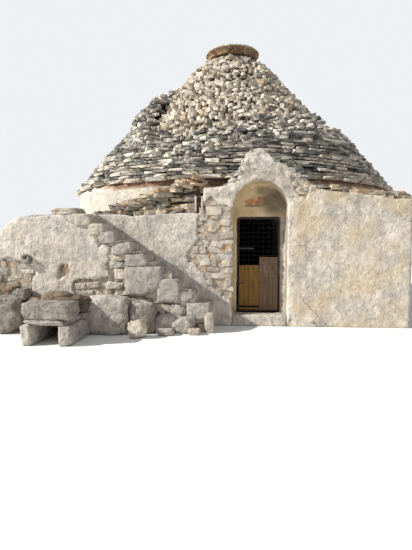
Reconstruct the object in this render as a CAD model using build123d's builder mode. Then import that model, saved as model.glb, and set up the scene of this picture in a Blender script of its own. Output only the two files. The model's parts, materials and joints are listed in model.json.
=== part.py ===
import os
from math import cos, radians, sin, sqrt

from build123d import *

# Trullo house: a round dry-stone house under a slab-covered cone, with an arched portal in front,
# an outside stair up to a terrace on its left, and a low stone shelter at its foot.
# The origin is the middle of the round room at ground level. The front looks along -Y.
# Azimuths are degrees round the house from the front, growing to the right.

# Driving dimensions, in millimetres
room_radius = 2650
drum_radius = 4420
flat_depth = 270
wall_top = 3000
floor_top = 160
segment_angle = 45

# Doorway, passage and arched recess
door_centre = 650
door_width = 880
door_head = 2210
threshold_top = 225
recess_radius = 540
recess_centre = 670
springing = 2355
recess_depth = 400
portal_depth = 550

# Portal gable: offsets from the door centre, and heights above the springing
gable_left = -1110
gable_right = 1130
gable_left_rise = 430
gable_right_rise = 420
gable_points = [
    (-640, 460), (-440, 620), (-310, 870), (-240, 1040), (-150, 1140), (75, 1175), (190, 1040), (310, 910),
    (570, 800), (850, 575),
]

# Cone: how far its foot lies outside the drum, and radius and rise above the eave at each change of slope
eave_thickness = 60
eave_overhang = 30
rubble_foot = -270
skin_foot = 40
rubble_points = [(drum_radius + rubble_foot, 0), (3150, 1240), (2620, 1840), (1850, 2690), (1350, 3290), (800, 3860), (690, 3930)]
skin_points = [(drum_radius + skin_foot, 0), (3960, 640), (3530, 1140), (3030, 1690), (2800, 2140), (2420, 2540), (2130, 2800)]
skin_lower_rise = 880
skin_middle_rise = 1600
skin_upper_rise = 2800
skin_courses = (5, 4, 6)
skin_middle_start = 20
skin_middle_end = 325
skin_upper_start = 125
skin_upper_end = 315

# Corbelled vault inside the cone
corbel_height = 260
corbel_count = 10
corbel_power = 1.5
vault_split = 5
vault_back = 450
vault_slab_thickness = 110

# Capstone
cap_rim_radius = 780
cap_flare_height = 170
cap_flare_hollow = 12
cap_rim_height = 45
cap_crown = 20

# Front walls and terrace
front_wall = 450
left_wall_top_outer = 2240
left_wall_top_inner = 2305
right_wall_top_inner = 2740
right_wall_top_outer = 2540
right_wall_end = 3600
terrace_top = 2200

# Heap of fallen slabs on the left terrace: distance left of the portal, and height
heap_points = [(2250, 2200), (1930, 2390), (1370, 2620), (750, 2840), (250, 2950), (0, 2960)]
heap_set_back = 180
heap_depth = 970

# Stair against the left front wall
stair_width = 670
stair_first_end = -256
stair_first_top = 590
stair_going = 283
stair_rise = 206
stair_steps = 9
tread_thickness = 95

# Annex terrace on the left
annex_wall = 500
annex_end = -4400
annex_top = 2250
annex_corner_radius = 680
annex_back_share = 0.3

# Low stone shelter in front of the annex
shelter_centre = -2850
shelter_opening = 420
shelter_height = 325
shelter_length = 1330
shelter_pier = 210
shelter_slab = 95
shelter_block_height = 275
shelter_block_depth = 420
shelter_block_taper = 4
shelter_block_corner = 60
shelter_roof_rise = 370

# Boulders at the foot of the walls: middle x, middle's distance from the stair's front, width, depth and height,
# and the shape they share: share of the height, and share of the width there
boulders = [
    (-4060, 270, 620, 540, 680), (-2010, 250, 780, 500, 770), (-1270, 200, 640, 400, 620),
    (-700, 140, 420, 280, 240),
]
boulder_shape = [(0, 0.86), (0.4, 1), (0.75, 0.86), (1, 0.5)]
boulder_corner = 0.3

# Drain spout and channel stone
drain_x = -3790
drain_z = 1350
drain_side = 150
drain_reach = 210
drain_channel = 70
channel_x = -545
channel_width = 170
channel_height = 300
channel_slot = 90

# Gate
gate_gap_hinge = 30
gate_gap_lock = 10
gate_bottom_gap = 25
gate_top_gap = 20
gate_bar = 20
gate_bar_depth = 12
gate_set_back = 20
hinge_offset = 18
mesh_pitch = 97
mesh_wire = 5
hinge_heights = (829, 1557)
strap_lengths = (110, 330)
strap_height = 26
strap_thickness = 6
strap_gap = 2
eye_radius = 11
pin_radius = 6
pin_clearance = 0.5
pin_height = 46
pin_embed = 100
board_thickness = 22
board_joint = 680
board_gap = 4
yellow_board_top = 1210
brown_board_top = 1380

# Places worked out from the dimensions above
door_left = door_centre - door_width / 2
door_right = door_centre + door_width / 2
recess_left = recess_centre - recess_radius
recess_right = recess_centre + recess_radius
front_flat = drum_radius - flat_depth
facade = front_flat + portal_depth
passage_front = facade - recess_depth
portal_left_x = door_centre + gable_left
portal_right_x = door_centre + gable_right
eave_z = wall_top + eave_thickness
stair_front = facade + stair_width
shelter_front = stair_front + shelter_length
heap_front = facade - heap_set_back
heap_back = heap_front - heap_depth
stair_top_end = stair_first_end - stair_steps * stair_going


def radius_at(points, rise):
    """Radius of a sloping outline at a rise above the eave."""
    for (r_low, z_low), (r_high, z_high) in zip(points, points[1:]):
        if rise <= z_high:
            return r_low + (r_high - r_low) * (rise - z_low) / (z_high - z_low)
    return points[-1][0]


def outline_between(points, low, high):
    """Points of a sloping outline from one rise to another, its own corners included."""
    inner = [(r, z) for r, z in points if low < z < high]
    return [(radius_at(points, low), low)] + inner + [(radius_at(points, high), high)]


def radial_plane(azimuth):
    """Upright plane through the axis, with its local x pointing out at an azimuth."""
    angle = radians(azimuth - 90)
    return Plane(origin=(0, 0, 0), x_dir=(cos(angle), sin(angle), 0), z_dir=(sin(angle), -cos(angle), 0))


def gable_outline(bottom):
    """Outline of the gable wall from a height up to its sloping top."""
    tops = [(door_centre + x, springing + rise) for x, rise in gable_points]
    left = (portal_left_x, springing + gable_left_rise)
    right = (portal_right_x, springing + gable_right_rise)
    return [(portal_left_x, bottom), left, *tops, right, (portal_right_x, bottom)]


# Two forms that other pieces are fitted round: the drum's plan, and the gable with the passage roof
with BuildPart() as drum_form:
    with BuildSketch():
        Circle(drum_radius)
        with Locations((0, -front_flat - drum_radius)):
            Rectangle(2 * drum_radius, 2 * drum_radius, mode=Mode.SUBTRACT)
    extrude(amount=wall_top)

with BuildPart() as gable_form:
    with BuildSketch(Plane.XZ.offset(front_flat)):
        Polygon(*gable_outline(door_head), align=None)
    extrude(amount=facade - front_flat)

os.makedirs("parts", exist_ok=True)

# Floor of the room, running out through the passage, and the threshold stone
with BuildPart() as floor:
    with BuildSketch():
        Circle(room_radius)
        Polygon(
            (door_left, 0), (door_left, -passage_front), (door_right, -passage_front), (door_right, 0), align=None
        )
    extrude(amount=floor_top)
floor.part.label = "floor"
export_step(floor.part, "parts/floor.step")

with BuildPart() as threshold:
    with BuildSketch():
        Polygon(
            (recess_left, -facade), (recess_left, -passage_front), (recess_right, -passage_front),
            (recess_right, -facade), align=None
        )
    extrude(amount=threshold_top)
threshold.part.label = "threshold"
export_step(threshold.part, "parts/threshold.step")

# Drum wall: six round segments, and a flat front in three pieces about the passage
first_segment = segment_angle
segment_count = round(360 / segment_angle) - 2
for index in range(segment_count):
    with BuildPart() as drum_segment:
        with BuildSketch(radial_plane(first_segment + index * segment_angle)):
            with Locations(((room_radius + drum_radius) / 2, wall_top / 2)):
                Rectangle(drum_radius - room_radius, wall_top)
        revolve(axis=Axis.Z, revolution_arc=segment_angle)
    drum_segment.part.label = f"drum_segment_{index + 1}"
    export_step(drum_segment.part, f"parts/drum_segment_{index + 1}.step")

with BuildPart() as front_sector:
    with BuildSketch(radial_plane(-segment_angle)):
        with Locations(((room_radius + drum_radius) / 2, wall_top / 2)):
            Rectangle(drum_radius - room_radius, wall_top)
    revolve(axis=Axis.Z, revolution_arc=2 * segment_angle)
    split(bisect_by=Plane.XZ.offset(front_flat), keep=Keep.BOTTOM)

with BuildPart() as drum_front_left:
    add(front_sector.part)
    split(bisect_by=Plane.YZ.offset(door_left), keep=Keep.BOTTOM)
drum_front_left.part.label = "drum_front_left"
export_step(drum_front_left.part, "parts/drum_front_left.step")

with BuildPart() as drum_front_right:
    add(front_sector.part)
    split(bisect_by=Plane.YZ.offset(door_right), keep=Keep.TOP)
drum_front_right.part.label = "drum_front_right"
export_step(drum_front_right.part, "parts/drum_front_right.step")

with BuildPart() as drum_over_door:
    add(front_sector.part)
    split(bisect_by=Plane.YZ.offset(door_left), keep=Keep.TOP)
    split(bisect_by=Plane.YZ.offset(door_right), keep=Keep.BOTTOM)
    split(bisect_by=Plane.XY.offset(door_head), keep=Keep.TOP)
drum_over_door.part.label = "drum_over_door"
export_step(drum_over_door.part, "parts/drum_over_door.step")

# Bed of earth and small stone under the eave, coved out past the flat front
with BuildPart() as eave_bed:
    with BuildSketch(Plane.XZ):
        Polygon(
            (room_radius, wall_top), (drum_radius, wall_top),
            (drum_radius + eave_overhang, eave_z), (room_radius, eave_z), align=None
        )
    revolve(axis=Axis.Z)
    add(gable_form.part, mode=Mode.SUBTRACT)
eave_bed.part.label = "eave_bed"
export_step(eave_bed.part, "parts/eave_bed.step")


# Corbelled vault: each course steps in over the one below
def corbel_radius(course):
    return room_radius * (1 - (course / corbel_count) ** corbel_power)


vault_outer = [
    (corbel_radius(course) + vault_back, course * corbel_height)
    for course in (0, vault_split, corbel_count)
]


def vault_section(first, last):
    """Section of the vault between two courses: stepped inside, sloping outside."""
    points = []
    for course in range(round(first), round(last)):
        points.append((corbel_radius(course), eave_z + course * corbel_height))
        points.append((corbel_radius(course), eave_z + (course + 1) * corbel_height))
    outer = outline_between(vault_outer, first * corbel_height, last * corbel_height)
    return points + [(r, eave_z + z) for r, z in reversed(outer)]


with BuildPart() as vault_lower:
    with BuildSketch(Plane.XZ):
        Polygon(*vault_section(0, vault_split), align=None)
    revolve(axis=Axis.Z)
vault_lower.part.label = "vault_lower"
export_step(vault_lower.part, "parts/vault_lower.step")

with BuildPart() as vault_upper:
    with BuildSketch(Plane.XZ):
        Polygon(*vault_section(vault_split, corbel_count), align=None)
    revolve(axis=Axis.Z)
vault_upper.part.label = "vault_upper"
export_step(vault_upper.part, "parts/vault_upper.step")

vault_top = corbel_count * corbel_height
with BuildPart() as vault_slab:
    with BuildSketch(Plane.XY.offset(eave_z + vault_top)):
        Circle(radius_at(vault_outer, vault_top))
    extrude(amount=vault_slab_thickness)
vault_slab.part.label = "vault_slab"
export_step(vault_slab.part, "parts/vault_slab.step")

# Rubble body of the cone: a thick ring round the vault, and the top above it
with BuildPart() as rubble_fill:
    outer_points = [(r, eave_z + z) for r, z in outline_between(rubble_points, 0, vault_top)]
    inner_points = [(r, eave_z + z) for r, z in vault_outer]
    with BuildSketch(Plane.XZ):
        Polygon(*outer_points, *reversed(inner_points), align=None)
    revolve(axis=Axis.Z)
    add(gable_form.part, mode=Mode.SUBTRACT)
rubble_fill.part.label = "rubble_fill"
export_step(rubble_fill.part, "parts/rubble_fill.step")

with BuildPart() as rubble_top:
    cone_rise = rubble_points[-1][1]
    slab_radius = radius_at(vault_outer, vault_top)
    slab_top = vault_top + vault_slab_thickness
    outer_points = [(r, eave_z + z) for r, z in outline_between(rubble_points, vault_top, cone_rise)]
    with BuildSketch(Plane.XZ):
        Polygon(
            (0, eave_z + slab_top), (slab_radius, eave_z + slab_top), (slab_radius, eave_z + vault_top),
            *outer_points, (0, eave_z + cone_rise), align=None
        )
    revolve(axis=Axis.Z)
rubble_top.part.label = "rubble_top"
export_step(rubble_top.part, "parts/rubble_top.step")


# Slab skin: courses that step in as they rise, bedded on the rubble
def skin_section(low, high, courses):
    """Section of the skin between two rises: stepped outside, sloping inside."""
    step = (high - low) / courses
    points = []
    for course in range(courses):
        radius = radius_at(skin_points, low + course * step)
        points.append((radius, eave_z + low + course * step))
        points.append((radius, eave_z + low + (course + 1) * step))
    inner = outline_between(rubble_points, low, high)
    return points + [(r, eave_z + z) for r, z in reversed(inner)]


with BuildPart() as skin_lower:
    with BuildSketch(Plane.XZ):
        Polygon(*skin_section(0, skin_lower_rise, skin_courses[0]), align=None)
    revolve(axis=Axis.Z)
    add(gable_form.part, mode=Mode.SUBTRACT)
skin_lower.part.label = "skin_lower"
export_step(skin_lower.part, "parts/skin_lower.step")

with BuildPart() as skin_middle:
    with BuildSketch(radial_plane(skin_middle_start)):
        Polygon(*skin_section(skin_lower_rise, skin_middle_rise, skin_courses[1]), align=None)
    revolve(axis=Axis.Z, revolution_arc=skin_middle_end - skin_middle_start)
skin_middle.part.label = "skin_middle"
export_step(skin_middle.part, "parts/skin_middle.step")

with BuildPart() as skin_upper:
    with BuildSketch(radial_plane(skin_upper_start)):
        Polygon(*skin_section(skin_middle_rise, skin_upper_rise, skin_courses[2]), align=None)
    revolve(axis=Axis.Z, revolution_arc=skin_upper_end - skin_upper_start)
skin_upper.part.label = "skin_upper"
export_step(skin_upper.part, "parts/skin_upper.step")

# Capstone: a flared dish with a thin rim
with BuildPart() as capstone:
    neck_radius, neck_rise = rubble_points[-1]
    cap_z = eave_z + neck_rise
    rim_z = cap_z + cap_flare_height
    flare_middle = (
        (neck_radius + cap_rim_radius) / 2 - cap_flare_hollow, (cap_z + rim_z) / 2 + cap_flare_hollow
    )
    with BuildSketch(Plane.XZ):
        with BuildLine():
            Line((0, cap_z), (neck_radius, cap_z))
            ThreePointArc((neck_radius, cap_z), flare_middle, (cap_rim_radius, rim_z))
            Line((cap_rim_radius, rim_z), (cap_rim_radius, rim_z + cap_rim_height))
            Line((cap_rim_radius, rim_z + cap_rim_height), (0, rim_z + cap_rim_height + cap_crown))
            Line((0, rim_z + cap_rim_height + cap_crown), (0, cap_z))
        make_face()
    revolve(axis=Axis.Z)
capstone.part.label = "capstone"
export_step(capstone.part, "parts/capstone.step")

# Portal: two piers, and the gable wall with the round arch cut through it
with BuildPart() as portal_left:
    with BuildSketch():
        Polygon(
            (portal_left_x, -facade), (portal_left_x, -passage_front),
            (recess_left, -passage_front), (recess_left, -facade), align=None
        )
    extrude(amount=springing)
portal_left.part.label = "portal_left"
export_step(portal_left.part, "parts/portal_left.step")

with BuildPart() as portal_right:
    with BuildSketch():
        Polygon(
            (recess_right, -facade), (recess_right, -passage_front),
            (portal_right_x, -passage_front), (portal_right_x, -facade), align=None
        )
    extrude(amount=springing)
portal_right.part.label = "portal_right"
export_step(portal_right.part, "parts/portal_right.step")

with BuildPart() as portal_arch:
    with BuildSketch(Plane.XZ.offset(passage_front)):
        Polygon(*gable_outline(springing), align=None)
        with Locations((recess_centre, springing)):
            Circle(recess_radius, mode=Mode.SUBTRACT)
    extrude(amount=recess_depth)
portal_arch.part.label = "portal_arch"
export_step(portal_arch.part, "parts/portal_arch.step")

# Passage through the thick front: two side walls and the mass over it, whose face fills the arch
pintle_arm = 2 * pin_radius
hinge_x = door_left + hinge_offset
hinge_y = -(passage_front - gate_set_back)


def pintle_arm_box(height):
    """Size and middle of the square arm that carries a hinge pin, built into the jamb."""
    length = pin_embed + hinge_offset + pin_radius
    centre_x = door_left - pin_embed + length / 2
    arm_top = height - strap_height / 2 - pin_clearance
    return length, (centre_x, hinge_y, arm_top - pintle_arm / 2)


with BuildPart() as passage_left:
    with BuildSketch():
        Polygon(
            (portal_left_x, -passage_front), (portal_left_x, -front_flat),
            (door_left, -front_flat), (door_left, -passage_front), align=None
        )
    extrude(amount=door_head)
    for height in hinge_heights:
        arm_length, arm_middle = pintle_arm_box(height)
        with Locations(arm_middle):
            Box(arm_length, pintle_arm, pintle_arm, mode=Mode.SUBTRACT)
passage_left.part.label = "passage_left"
export_step(passage_left.part, "parts/passage_left.step")

with BuildPart() as passage_right:
    with BuildSketch():
        Polygon(
            (door_right, -passage_front), (door_right, -front_flat),
            (portal_right_x, -front_flat), (portal_right_x, -passage_front), align=None
        )
    extrude(amount=door_head)
passage_right.part.label = "passage_right"
export_step(passage_right.part, "parts/passage_right.step")

with BuildPart() as passage_roof:
    with BuildSketch(Plane.XZ.offset(front_flat)):
        Polygon(*gable_outline(door_head), align=None)
    extrude(amount=passage_front - front_flat)
passage_roof.part.label = "passage_roof"
export_step(passage_roof.part, "parts/passage_roof.step")

# Front walls beside the portal, with sloping tops
wall_back = facade - front_wall
with BuildPart() as front_wall_left:
    with BuildSketch(Plane.XZ.offset(wall_back)):
        Polygon(
            (stair_top_end, 0), (stair_top_end, left_wall_top_outer),
            (portal_left_x, left_wall_top_inner), (portal_left_x, 0), align=None
        )
    extrude(amount=front_wall)
front_wall_left.part.label = "front_wall_left"
export_step(front_wall_left.part, "parts/front_wall_left.step")

with BuildPart() as front_wall_right:
    with BuildSketch(Plane.XZ.offset(wall_back)):
        Polygon(
            (portal_right_x, 0), (portal_right_x, right_wall_top_inner),
            (right_wall_end, right_wall_top_outer), (right_wall_end, 0), align=None
        )
    extrude(amount=front_wall)
front_wall_right.part.label = "front_wall_right"
export_step(front_wall_right.part, "parts/front_wall_right.step")

side_wall_back = sqrt(drum_radius ** 2 - right_wall_end ** 2)
with BuildPart() as side_wall_right:
    with BuildSketch():
        Polygon(
            (right_wall_end - front_wall, -wall_back), (right_wall_end - front_wall, -side_wall_back),
            (right_wall_end, -side_wall_back), (right_wall_end, -wall_back), align=None
        )
    extrude(amount=right_wall_top_outer)
    add(drum_form.part, mode=Mode.SUBTRACT)
side_wall_right.part.label = "side_wall_right"
export_step(side_wall_right.part, "parts/side_wall_right.step")

# Annex terrace: a front wall rounded down at its left end, a side wall, and the fill behind them
annex_front_back = stair_front - annex_wall
with BuildPart() as annex_front_wall:
    with BuildSketch(Plane.XZ.offset(annex_front_back)):
        with BuildLine():
            Polyline(
                (annex_end + annex_corner_radius, annex_top), (stair_top_end, annex_top),
                (stair_top_end, 0), (annex_end, 0), (annex_end, annex_top - annex_corner_radius)
            )
            RadiusArc(
                (annex_end, annex_top - annex_corner_radius), (annex_end + annex_corner_radius, annex_top),
                annex_corner_radius
            )
        make_face()
    extrude(amount=annex_wall)
    with Locations((drain_x, -stair_front, drain_z)):
        Box(drain_side, 2 * drain_reach, drain_side, mode=Mode.SUBTRACT)
annex_front_wall.part.label = "annex_front_wall"
export_step(annex_front_wall.part, "parts/annex_front_wall.step")

annex_back = annex_back_share * drum_radius
annex_arc_bottom = annex_top - annex_corner_radius
annex_side_height = annex_arc_bottom + sqrt(annex_corner_radius ** 2 - (annex_corner_radius - annex_wall) ** 2)
with BuildPart() as annex_side_wall:
    with BuildSketch(Plane.XZ.offset(annex_back)):
        with BuildLine():
            Polyline(
                (annex_end + annex_wall, annex_side_height), (annex_end + annex_wall, 0), (annex_end, 0),
                (annex_end, annex_arc_bottom)
            )
            RadiusArc(
                (annex_end, annex_arc_bottom), (annex_end + annex_wall, annex_side_height), annex_corner_radius
            )
        make_face()
    extrude(amount=annex_front_back - annex_back)
    add(drum_form.part, mode=Mode.SUBTRACT)
annex_side_wall.part.label = "annex_side_wall"
export_step(annex_side_wall.part, "parts/annex_side_wall.step")

with BuildPart() as terrace_fill:
    with BuildSketch():
        Polygon(
            (annex_end + annex_wall, -annex_front_back), (annex_end + annex_wall, -annex_back),
            (0, -annex_back), (portal_left_x, -front_flat), (portal_left_x, -wall_back),
            (stair_top_end, -wall_back), (stair_top_end, -annex_front_back), align=None
        )
        Polygon(
            (portal_right_x, -wall_back), (portal_right_x, -front_flat), (0, 0),
            (right_wall_end - front_wall, -side_wall_back), (right_wall_end - front_wall, -wall_back), align=None
        )
    extrude(amount=terrace_top)
    add(drum_form.part, mode=Mode.SUBTRACT)
terrace_fill.part.label = "terrace_fill"
export_step(terrace_fill.part, "parts/terrace_fill.step")

# Heap of fallen slabs that rises over the left terrace and its front wall to the portal's shoulder
with BuildPart() as slab_heap:
    with BuildSketch(Plane.XZ.offset(heap_back)):
        heap_top = [(portal_left_x - distance, height) for distance, height in heap_points]
        Polygon(*heap_top, (portal_left_x, terrace_top), align=None)
    extrude(amount=heap_front - heap_back)
    add(front_wall_left.part, mode=Mode.SUBTRACT)
    add(drum_form.part, mode=Mode.SUBTRACT)
slab_heap.part.label = "slab_heap"
export_step(slab_heap.part, "parts/slab_heap.step")

# Stair: a stepped mass of stone with a slab tread on each step
with BuildPart() as stair_mass:
    outline = [(stair_first_end, 0)]
    for step in range(stair_steps):
        riser_x = stair_first_end - step * stair_going
        bed_z = stair_first_top + step * stair_rise - tread_thickness
        outline.append((riser_x, bed_z))
        outline.append((riser_x - stair_going, bed_z))
    outline.append((stair_top_end, 0))
    with BuildSketch(Plane.XZ.offset(facade)):
        Polygon(*outline, align=None)
    extrude(amount=stair_width)
stair_mass.part.label = "stair_mass"
export_step(stair_mass.part, "parts/stair_mass.step")

with BuildPart() as stair_treads:
    for step in range(stair_steps):
        tread_x = stair_first_end - (step + 0.5) * stair_going
        tread_z = stair_first_top + step * stair_rise - tread_thickness / 2
        with Locations((tread_x, -facade - stair_width / 2, tread_z)):
            Box(stair_going, stair_width, tread_thickness)
stair_treads.part.label = "stair_treads"
export_step(stair_treads.part, "parts/stair_treads.step")

# Boulders, each lofted from the ground up through its widest part to a blunt top
with BuildPart() as base_boulders:
    for x, out, width, depth, height in boulders:
        for height_share, width_share in boulder_shape:
            with BuildSketch(Plane.XY.offset(height * height_share)) as boulder_section:
                with Locations((x, -stair_front - out)):
                    Rectangle(width * width_share, depth * width_share)
                chamfer(boulder_section.vertices(), min(width, depth) * width_share * boulder_corner)
        loft(ruled=True)
base_boulders.part.label = "base_boulders"
export_step(base_boulders.part, "parts/base_boulders.step")

# Low shelter: two side walls, a thin slab, a rough lintel block on its front and a rounded roof
shelter_left = shelter_centre - shelter_opening / 2
shelter_right = shelter_centre + shelter_opening / 2
shelter_width = shelter_opening + 2 * shelter_pier
shelter_middle = -(shelter_front + stair_front) / 2
with BuildPart() as shelter_piers:
    for x in (shelter_left - shelter_pier / 2, shelter_right + shelter_pier / 2):
        with BuildSketch():
            with Locations((x, shelter_middle)):
                Rectangle(shelter_pier, shelter_length)
        extrude(amount=shelter_height)
shelter_piers.part.label = "shelter_piers"
export_step(shelter_piers.part, "parts/shelter_piers.step")

with BuildPart() as shelter_cover:
    with BuildSketch(Plane.XY.offset(shelter_height)):
        with Locations((shelter_centre, shelter_middle)):
            Rectangle(shelter_width, shelter_length)
    extrude(amount=shelter_slab)
shelter_cover.part.label = "shelter_cover"
export_step(shelter_cover.part, "parts/shelter_cover.step")

shelter_bed = shelter_height + shelter_slab
with BuildPart() as shelter_block:
    with BuildSketch(Plane.XY.offset(shelter_bed)):
        with Locations((shelter_centre, -shelter_front + shelter_block_depth / 2)):
            RectangleRounded(shelter_width, shelter_block_depth, shelter_block_corner)
    extrude(amount=shelter_block_height, taper=shelter_block_taper)
shelter_block.part.label = "shelter_block"
export_step(shelter_block.part, "parts/shelter_block.step")

with BuildPart() as shelter_roof:
    roof_length = shelter_length - shelter_block_depth
    with BuildSketch(Plane.XZ.offset(stair_front)):
        with BuildLine():
            roof_left = (shelter_centre - shelter_width / 2, shelter_bed)
            roof_right = (shelter_centre + shelter_width / 2, shelter_bed)
            Line(roof_left, roof_right)
            ThreePointArc(roof_right, (shelter_centre, shelter_bed + shelter_roof_rise), roof_left)
        make_face()
    extrude(amount=roof_length)
shelter_roof.part.label = "shelter_roof"
export_step(shelter_roof.part, "parts/shelter_roof.step")

# Drain spout: a square stone channel through the annex wall
with BuildPart() as drain_spout:
    with Locations((drain_x, -stair_front, drain_z)):
        Box(drain_side, 2 * drain_reach, drain_side)
    with Locations((drain_x, -stair_front, drain_z + (drain_side - drain_channel) / 2)):
        Box(drain_channel, 2 * drain_reach, drain_channel, mode=Mode.SUBTRACT)
drain_spout.part.label = "drain_spout"
export_step(drain_spout.part, "parts/drain_spout.step")

# Upright channel stone beside the gable's left shoulder, seated on the front wall's sloping top
wall_slope = (left_wall_top_inner - left_wall_top_outer) / (portal_left_x - stair_top_end)
channel_left = channel_x - channel_width / 2
channel_right = channel_x + channel_width / 2


def left_wall_height(x):
    """Height of the left front wall's sloping top."""
    return left_wall_top_outer + wall_slope * (x - stair_top_end)


with BuildPart() as channel_stone:
    channel_top = left_wall_height(channel_x) + channel_height
    with BuildSketch(Plane.XZ.offset(facade - channel_width)):
        Polygon(
            (channel_left, left_wall_height(channel_left)), (channel_left, channel_top),
            (channel_right, channel_top), (channel_right, left_wall_height(channel_right)), align=None
        )
    extrude(amount=channel_width)
    with Locations((channel_x, -facade, left_wall_height(channel_x) + channel_height / 2)):
        Box(channel_slot, channel_slot * 2, channel_height * 2, mode=Mode.SUBTRACT)
channel_stone.part.label = "channel_stone"
export_step(channel_stone.part, "parts/channel_stone.step")

# Gate: a light frame with welded mesh, two strap hinges and two boards behind the mesh
gate_left = door_left + gate_gap_hinge
gate_right = door_right - gate_gap_lock
gate_bottom = threshold_top + gate_bottom_gap
gate_top = door_head - gate_top_gap
gate_width = gate_right - gate_left
gate_height = gate_top - gate_bottom
gate_middle = ((gate_left + gate_right) / 2, (gate_bottom + gate_top) / 2)
strap_front = hinge_y - strap_thickness - strap_gap
frame_front = strap_front + strap_thickness
frame_back = frame_front + gate_bar_depth

with BuildPart() as gate_frame:
    with BuildSketch(Plane.XZ.offset(-frame_back)):
        with Locations(gate_middle):
            Rectangle(gate_width, gate_height)
            Rectangle(gate_width - 2 * gate_bar, gate_height - 2 * gate_bar, mode=Mode.SUBTRACT)
    extrude(amount=gate_bar_depth)
gate_frame.part.label = "gate_frame"
export_step(gate_frame.part, "parts/gate_frame.step")

mesh_width = gate_width - 2 * gate_bar
mesh_height = gate_height - 2 * gate_bar
mesh_columns = round(mesh_width / mesh_pitch)
mesh_rows = round(mesh_height / mesh_pitch)
cell_width = (mesh_width - (mesh_columns - 1) * mesh_wire) / mesh_columns
cell_height = (mesh_height - (mesh_rows - 1) * mesh_wire) / mesh_rows
with BuildPart() as gate_mesh:
    with BuildSketch(Plane.XZ.offset(-(frame_front + frame_back + mesh_wire) / 2)):
        with Locations(gate_middle):
            Rectangle(mesh_width, mesh_height)
        inner_cells = (cell_width + mesh_wire, cell_height + mesh_wire, mesh_columns, mesh_rows)
        with Locations(gate_middle):
            with GridLocations(*inner_cells):
                Rectangle(cell_width, cell_height, mode=Mode.SUBTRACT)
    extrude(amount=mesh_wire)
gate_mesh.part.label = "gate_mesh"
export_step(gate_mesh.part, "parts/gate_mesh.step")

with BuildPart() as gate_straps:
    for height, length in zip(hinge_heights, strap_lengths):
        with BuildSketch(Plane.XY.offset(height - strap_height / 2)):
            with Locations((hinge_x, hinge_y)):
                Circle(eye_radius)
            with Locations((hinge_x + length / 2, strap_front + strap_thickness / 2)):
                Rectangle(length, strap_thickness)
            with Locations((hinge_x, hinge_y)):
                Circle(pin_radius + pin_clearance, mode=Mode.SUBTRACT)
        extrude(amount=strap_height)
gate_straps.part.label = "gate_straps"
export_step(gate_straps.part, "parts/gate_straps.step")

with BuildPart() as gate_pintles:
    for height in hinge_heights:
        arm_length, arm_middle = pintle_arm_box(height)
        with Locations(arm_middle):
            Box(arm_length, pintle_arm, pintle_arm)
        with BuildSketch(Plane.XY.offset(arm_middle[2])):
            with Locations((hinge_x, hinge_y)):
                Circle(pin_radius)
        extrude(amount=pin_height)
gate_pintles.part.label = "gate_pintles"
export_step(gate_pintles.part, "parts/gate_pintles.step")

# Boards seated on the back of the gate frame
board_left = gate_left + gate_bar / 2
with BuildPart() as board_yellow:
    with BuildSketch(Plane.XZ.offset(-frame_back - board_thickness)):
        Polygon(
            (board_left, gate_bottom), (board_left, yellow_board_top),
            (board_joint - board_gap, yellow_board_top), (board_joint - board_gap, gate_bottom), align=None
        )
    extrude(amount=board_thickness)
board_yellow.part.label = "board_yellow"
export_step(board_yellow.part, "parts/board_yellow.step")

with BuildPart() as board_brown:
    with BuildSketch(Plane.XZ.offset(-frame_back - board_thickness)):
        Polygon(
            (board_joint, gate_bottom), (board_joint, brown_board_top),
            (gate_right, brown_board_top), (gate_right, gate_bottom), align=None
        )
    extrude(amount=board_thickness)
board_brown.part.label = "board_brown"
export_step(board_brown.part, "parts/board_brown.step")
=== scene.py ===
import json
import math
import random

import bmesh
import bpy
import numpy as np
from mathutils import Matrix, Vector, noise

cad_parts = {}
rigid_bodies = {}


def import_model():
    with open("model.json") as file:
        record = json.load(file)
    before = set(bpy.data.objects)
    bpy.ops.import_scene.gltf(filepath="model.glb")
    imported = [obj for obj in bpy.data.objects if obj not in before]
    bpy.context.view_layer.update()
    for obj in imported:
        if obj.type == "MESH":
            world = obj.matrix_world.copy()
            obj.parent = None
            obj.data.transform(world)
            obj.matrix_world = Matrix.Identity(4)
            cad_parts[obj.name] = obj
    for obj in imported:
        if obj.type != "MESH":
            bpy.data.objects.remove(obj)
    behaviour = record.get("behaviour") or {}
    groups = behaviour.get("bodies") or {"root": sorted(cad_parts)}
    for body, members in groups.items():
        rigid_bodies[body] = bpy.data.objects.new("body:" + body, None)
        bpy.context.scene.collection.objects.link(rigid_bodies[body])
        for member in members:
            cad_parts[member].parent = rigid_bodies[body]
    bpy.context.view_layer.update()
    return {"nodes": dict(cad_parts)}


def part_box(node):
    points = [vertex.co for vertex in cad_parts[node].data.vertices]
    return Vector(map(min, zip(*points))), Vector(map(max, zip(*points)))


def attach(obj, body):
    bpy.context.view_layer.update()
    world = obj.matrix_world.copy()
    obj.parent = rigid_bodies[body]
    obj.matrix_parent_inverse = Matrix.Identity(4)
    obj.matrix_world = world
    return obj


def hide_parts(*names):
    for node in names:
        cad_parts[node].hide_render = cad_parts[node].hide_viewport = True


# Dresses the trullo house: slab courses and rubble on the cone, limewashed and plastered walls,
# the stone stair, the low shelter, loose stones, and the mesh gate with its two boards.
# Metres, +Z up. Azimuths are degrees round the house from the front, growing to the right.

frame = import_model()

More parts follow.
